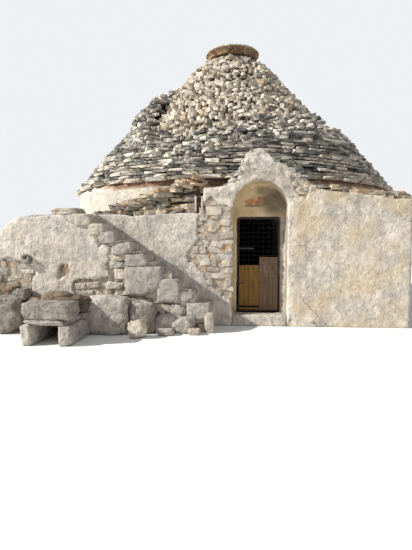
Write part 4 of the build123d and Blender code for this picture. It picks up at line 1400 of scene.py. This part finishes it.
def plank(shell, low, high, chance):
    """Chamfered plank between two corners, its ends a little uneven."""
    made = bmesh.ops.create_cube(shell, size=1.0)
    size = high - low
    lift = chance.uniform(-0.006, 0.0)
    for vert in made["verts"]:
        vert.co = low + Vector([(c + 0.5) * s for c, s in zip(vert.co, size)])
        if vert.co.z > low.z + size.z / 2:
            vert.co.z += lift
    edges = [edge for edge in shell.edges if edge.verts[0] in made["verts"]]
    bmesh.ops.bevel(shell, geom=edges, offset=0.0022, segments=2, profile=0.6, affect="EDGES")


def board(name, node, material, slot, rows):
    """Board of the gate, from planks side by side: rows of (bottom, top, planks across)."""
    low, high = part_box(node)
    chance = random.Random(len(name))
    shell = bmesh.new()
    half_gap = 0.0008
    for bottom, top, count in rows:
        width = (high.x - low.x) / count
        for index in range(count):
            left = low.x + index * width + half_gap
            right = low.x + (index + 1) * width - half_gap
            back = high.y - chance.uniform(0, 0.002)
            plank(shell, Vector((left, low.y, low.z + bottom)), Vector((right, back, low.z + top)), chance)
    mesh = mesh_from(name, shell)
    coat(mesh, material)
    give(shown(name, mesh), node, body="gate", slot=slot)


yellow_low, yellow_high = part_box("board_yellow")
brown_low, brown_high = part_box("board_brown")
board("ochre_planks", "board_yellow", ochre_board, "board_ochre", [
    (0.0, 0.075, 1), (0.105, yellow_high.z - yellow_low.z, 2),
])
board("brown_planks", "board_brown", brown_board, "board_grey_brown", [(0.0, brown_high.z - brown_low.z, 2)])

# Floor, light and camera


def pale_floor():
    """Plain pale floor."""
    half = 60.0
    corners = [(-half, -half, 0), (half, -half, 0), (half, half, 0), (-half, half, 0)]
    mesh = mesh_of(corners, faces=[(0, 1, 2, 3)], name="pale_floor")
    material = bpy.data.materials.new("pale_floor")
    material.use_nodes = True
    surface = material.node_tree.nodes["Principled BSDF"]
    surface.inputs["Base Color"].default_value = (0.88, 0.87, 0.86, 1)
    surface.inputs["Roughness"].default_value = 0.95
    surface.inputs["Specular IOR Level"].default_value = 0.1
    mesh.materials.append(material)
    shown("pale_floor", mesh)


def studio_light():
    """Soft sun from the left and a pale sky that shows lighter to the camera."""
    lamp = bpy.data.lights.new("key", "SUN")
    lamp.energy = 5.5
    lamp.angle = math.radians(1.3)
    lamp.color = (1.0, 0.965, 0.90)
    key = bpy.data.objects.new("key", lamp)
    key.rotation_mode = "QUATERNION"
    key.rotation_quaternion = Vector((1.0, 0.34, -0.67)).to_track_quat("-Z", "Y")
    bpy.context.scene.collection.objects.link(key)
    world = bpy.data.worlds.new("studio")
    world.use_nodes = True
    tree = world.node_tree
    tree.nodes.clear()
    path = add(tree, "ShaderNodeLightPath")
    light = add(tree, "ShaderNodeBackground", {"Color": (0.90, 0.95, 1.0, 1), "Strength": 0.42})
    shown_sky = add(tree, "ShaderNodeBackground", {"Color": (0.86, 0.88, 0.90, 1), "Strength": 1.0})
    blend = add(tree, "ShaderNodeMixShader", {
        0: path.outputs["Is Camera Ray"], 1: light.outputs[0], 2: shown_sky.outputs[0],
    })
    end = add(tree, "ShaderNodeOutputWorld")
    tree.links.new(blend.outputs[0], end.inputs["Surface"])
    bpy.context.scene.world = world


def photo_camera():
    """Camera at the photograph's place: 13.6 m in front, turned left and a little down."""
    lens = bpy.data.cameras.new("camera")
    lens.sensor_width = 36.0
    lens.lens = 29.13
    camera = bpy.data.objects.new("camera", lens)
    camera.location = (0.313, -13.6, 1.667)
    camera.rotation_euler = (math.radians(90 - 4.1), 0.0, math.radians(4.6))
    bpy.context.scene.collection.objects.link(camera)
    bpy.context.scene.camera = camera


pale_floor()
studio_light()
photo_camera()
bpy.context.scene.view_settings.view_transform = "Standard"
